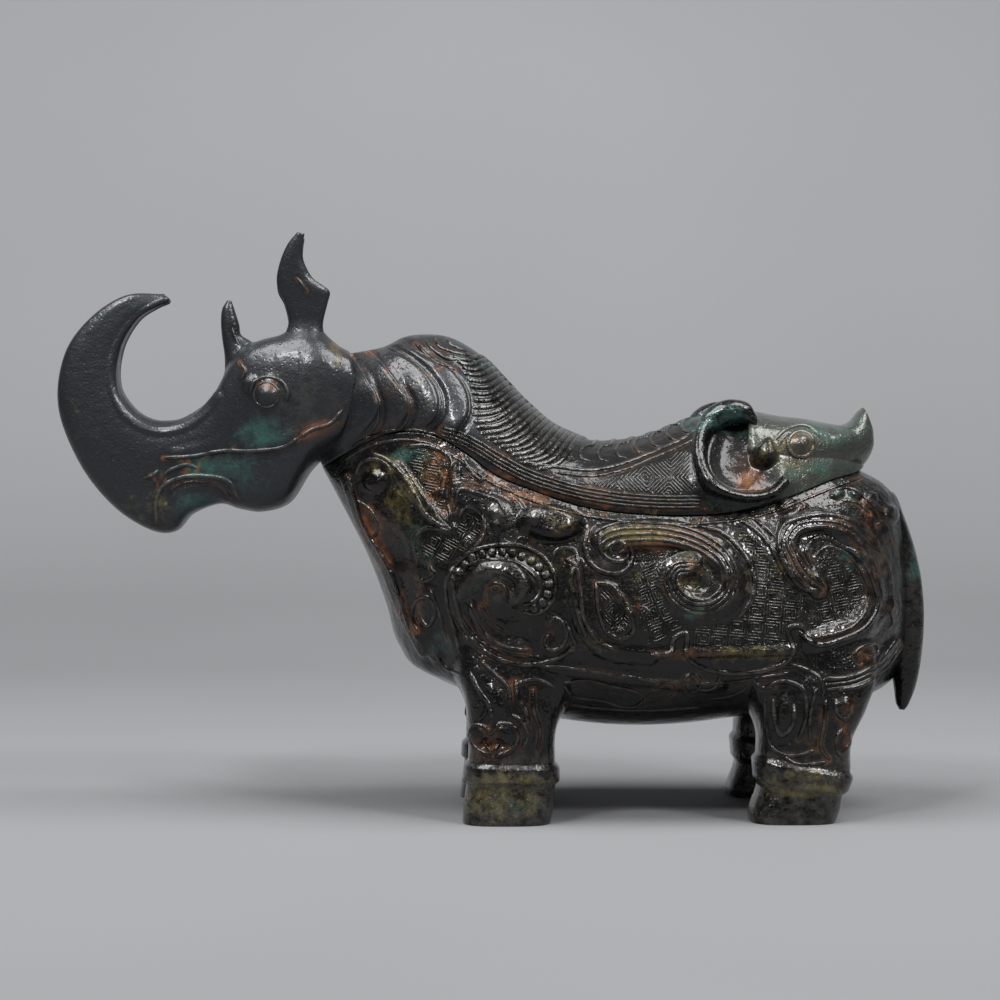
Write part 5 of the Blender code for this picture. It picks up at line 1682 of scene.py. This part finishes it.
def dress_head():
    """The head with its nose horn, and the brow horn and ears that stand on it."""
    head = rung_skin("rhino_head", sized(HEAD_RUNGS, HEAD_HALF_WIDTH), HEAD_SKIN_SQUARENESS)
    round_the_cheek(head)
    horn_rungs = with_tang(sized(BROW_HORN_RUNGS, BROW_HORN_HALF_WIDTH), HORN_TANG)
    crown = {"brow_horn": rung_skin("brow_horn", horn_rungs, PLATE_SQUARENESS, SMALL_SKIN_SIDES)}
    for (hand, side), shift in zip(HANDS, (0.0, FAR_EAR_SHIFT)):
        name = f"{hand}_ear"
        crown[name] = rung_skin(name, ear_rungs(side, shift), PLATE_SQUARENESS, SMALL_SKIN_SIDES)
    bare = surface_tree(head)
    flow_into(head, surface_tree(*crown.values()), EAR_FILLET)
    for piece in crown.values():
        flow_into(piece, bare, EAR_FILLET)
    raise_relief(head, head_height)

    tree = surface_tree(head, crown["brow_horn"], crown["left_ear"])
    threads = threads_over(tree, HEAD_THREADS_PX)
    # Painted shade and rust beside the head's threads
    paint(head, groove_near(head, threads, HEAD_GROOVE_REACH), evenly(head))
    add_piece("head_casting", head, STEEL, "lid", "green_bronze", "rhino_head")
    thread_piece("head_relief", threads, STEEL, "lid", "green_bronze")
    for name, piece in crown.items():
        slot = "green_bronze" if name == "brow_horn" else "dark_bronze"
        paint(piece, groove_near(piece, threads, HEAD_GROOVE_REACH), evenly(piece))
        add_piece(f"{name}_casting", piece, STEEL, "lid", slot, name)


def dress_strips():
    """The locating strips keep the frame's shape and get the dark finish."""
    for hand, _ in HANDS:
        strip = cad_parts[f"{hand}_locating_strip"]
        strip.data.materials.clear()
        strip.data.materials.append(DARK)


def paper_sweep():
    """A sheet of grey paper that runs under the object and up behind it."""
    bend_from = SWEEP_FLOOR[-1]
    profile = [(y, 0.0) for y in SWEEP_FLOOR]
    for a in np.linspace(0, math.pi / 2, SWEEP_BEND_STEPS)[1:]:
        profile.append((bend_from + SWEEP_BEND * math.sin(a), SWEEP_BEND * (1 - math.cos(a))))
    profile.append((bend_from + SWEEP_BEND, SWEEP_TOP))
    points = [(x, y, z) for y, z in profile for x in (-SWEEP_HALF_WIDTH, SWEEP_HALF_WIDTH)]
    faces = [(2 * i, 2 * i + 1, 2 * i + 3, 2 * i + 2) for i in range(len(profile) - 1)]
    sweep = bpy.data.meshes.new("studio_sweep")
    sweep.from_pydata(points, [], faces)
    sweep.shade_smooth()
    steps = np.hypot(*np.diff(profile, axis=0).T)
    run = SWEEP_FLOOR[0] + np.concatenate([[0.0], np.cumsum(steps)])
    # The paper's tone is graded as painted light, lighter up the backdrop
    set_attribute(sweep, "tone", np.repeat(np.interp(run, *PAPER_TONES_WITH_PAINTED_LIGHT), 2))

    s = Shader("grey_paper")
    mottle = s.ramp(s.noise(*MOTTLE_NOISE), *MOTTLE_SPAN, -PAPER_MOTTLE, PAPER_MOTTLE)
    tone = s.math("ADD", s.attribute("tone"), mottle)
    s.link(s.mix(tone, (0.0, 0.0, 0.0), PAPER_TINT), s.principled.inputs["Base Color"])
    s.principled.inputs["Roughness"].default_value = PAPER_ROUGHNESS
    s.principled.inputs["Specular IOR Level"].default_value = PAPER_SHEEN
    sweep.materials.append(s.material)
    item = bpy.data.objects.new("studio_sweep", sweep)
    bpy.context.scene.collection.objects.link(item)


def studio_light():
    """Two softboxes overhead, two smaller ones in front, and a dim even room."""
    for name, place, aim, (width, height), watts in LAMPS:
        lamp = bpy.data.lights.new(name, "AREA")
        lamp.shape = "RECTANGLE"
        lamp.size = width
        lamp.size_y = height
        lamp.energy = watts
        light = bpy.data.objects.new(name, lamp)
        light.location = place
        light.rotation_euler = (Vector(aim) - Vector(place)).to_track_quat("-Z", "Y").to_euler()
        bpy.context.scene.collection.objects.link(light)
    world = bpy.data.worlds.new("studio")
    world.use_nodes = True
    nodes, links = world.node_tree.nodes, world.node_tree.links
    room = nodes["Background"].inputs
    room["Color"].default_value = ROOM_COLOUR
    strength = nodes.new("ShaderNodeMapRange")
    strength.inputs["To Min"].default_value = ROOM_LIGHT
    strength.inputs["To Max"].default_value = ROOM_SEEN
    links.new(nodes.new("ShaderNodeLightPath").outputs["Is Camera Ray"], strength.inputs["Value"])
    links.new(strength.outputs["Result"], room["Strength"])
    bpy.context.scene.world = world


def photo_camera():
    """A camera at the photograph's place, with its far point where the photograph has it."""
    lens = bpy.data.cameras.new("photo_camera")
    lens.sensor_width = SENSOR_WIDTH
    lens.lens = SENSOR_WIDTH * FOCAL_PX / PICTURE_PX
    camera = bpy.data.objects.new("photo_camera", lens)
    camera.location = CAMERA_AT
    pan = math.atan((PICTURE_PX / 2 - FAR_POINT_PX[0]) / FOCAL_PX)
    tilt = math.atan((PICTURE_PX / 2 - FAR_POINT_PX[1]) / FOCAL_PX)
    camera.rotation_euler = Euler((math.pi / 2 - tilt, 0.0, -pan), "XYZ")
    bpy.context.scene.collection.objects.link(camera)
    bpy.context.scene.camera = camera
    bpy.context.scene.view_settings.view_transform = "Standard"


dress_vessel()
dress_lid()
dress_head()
dress_strips()
paper_sweep()
studio_light()
photo_camera()
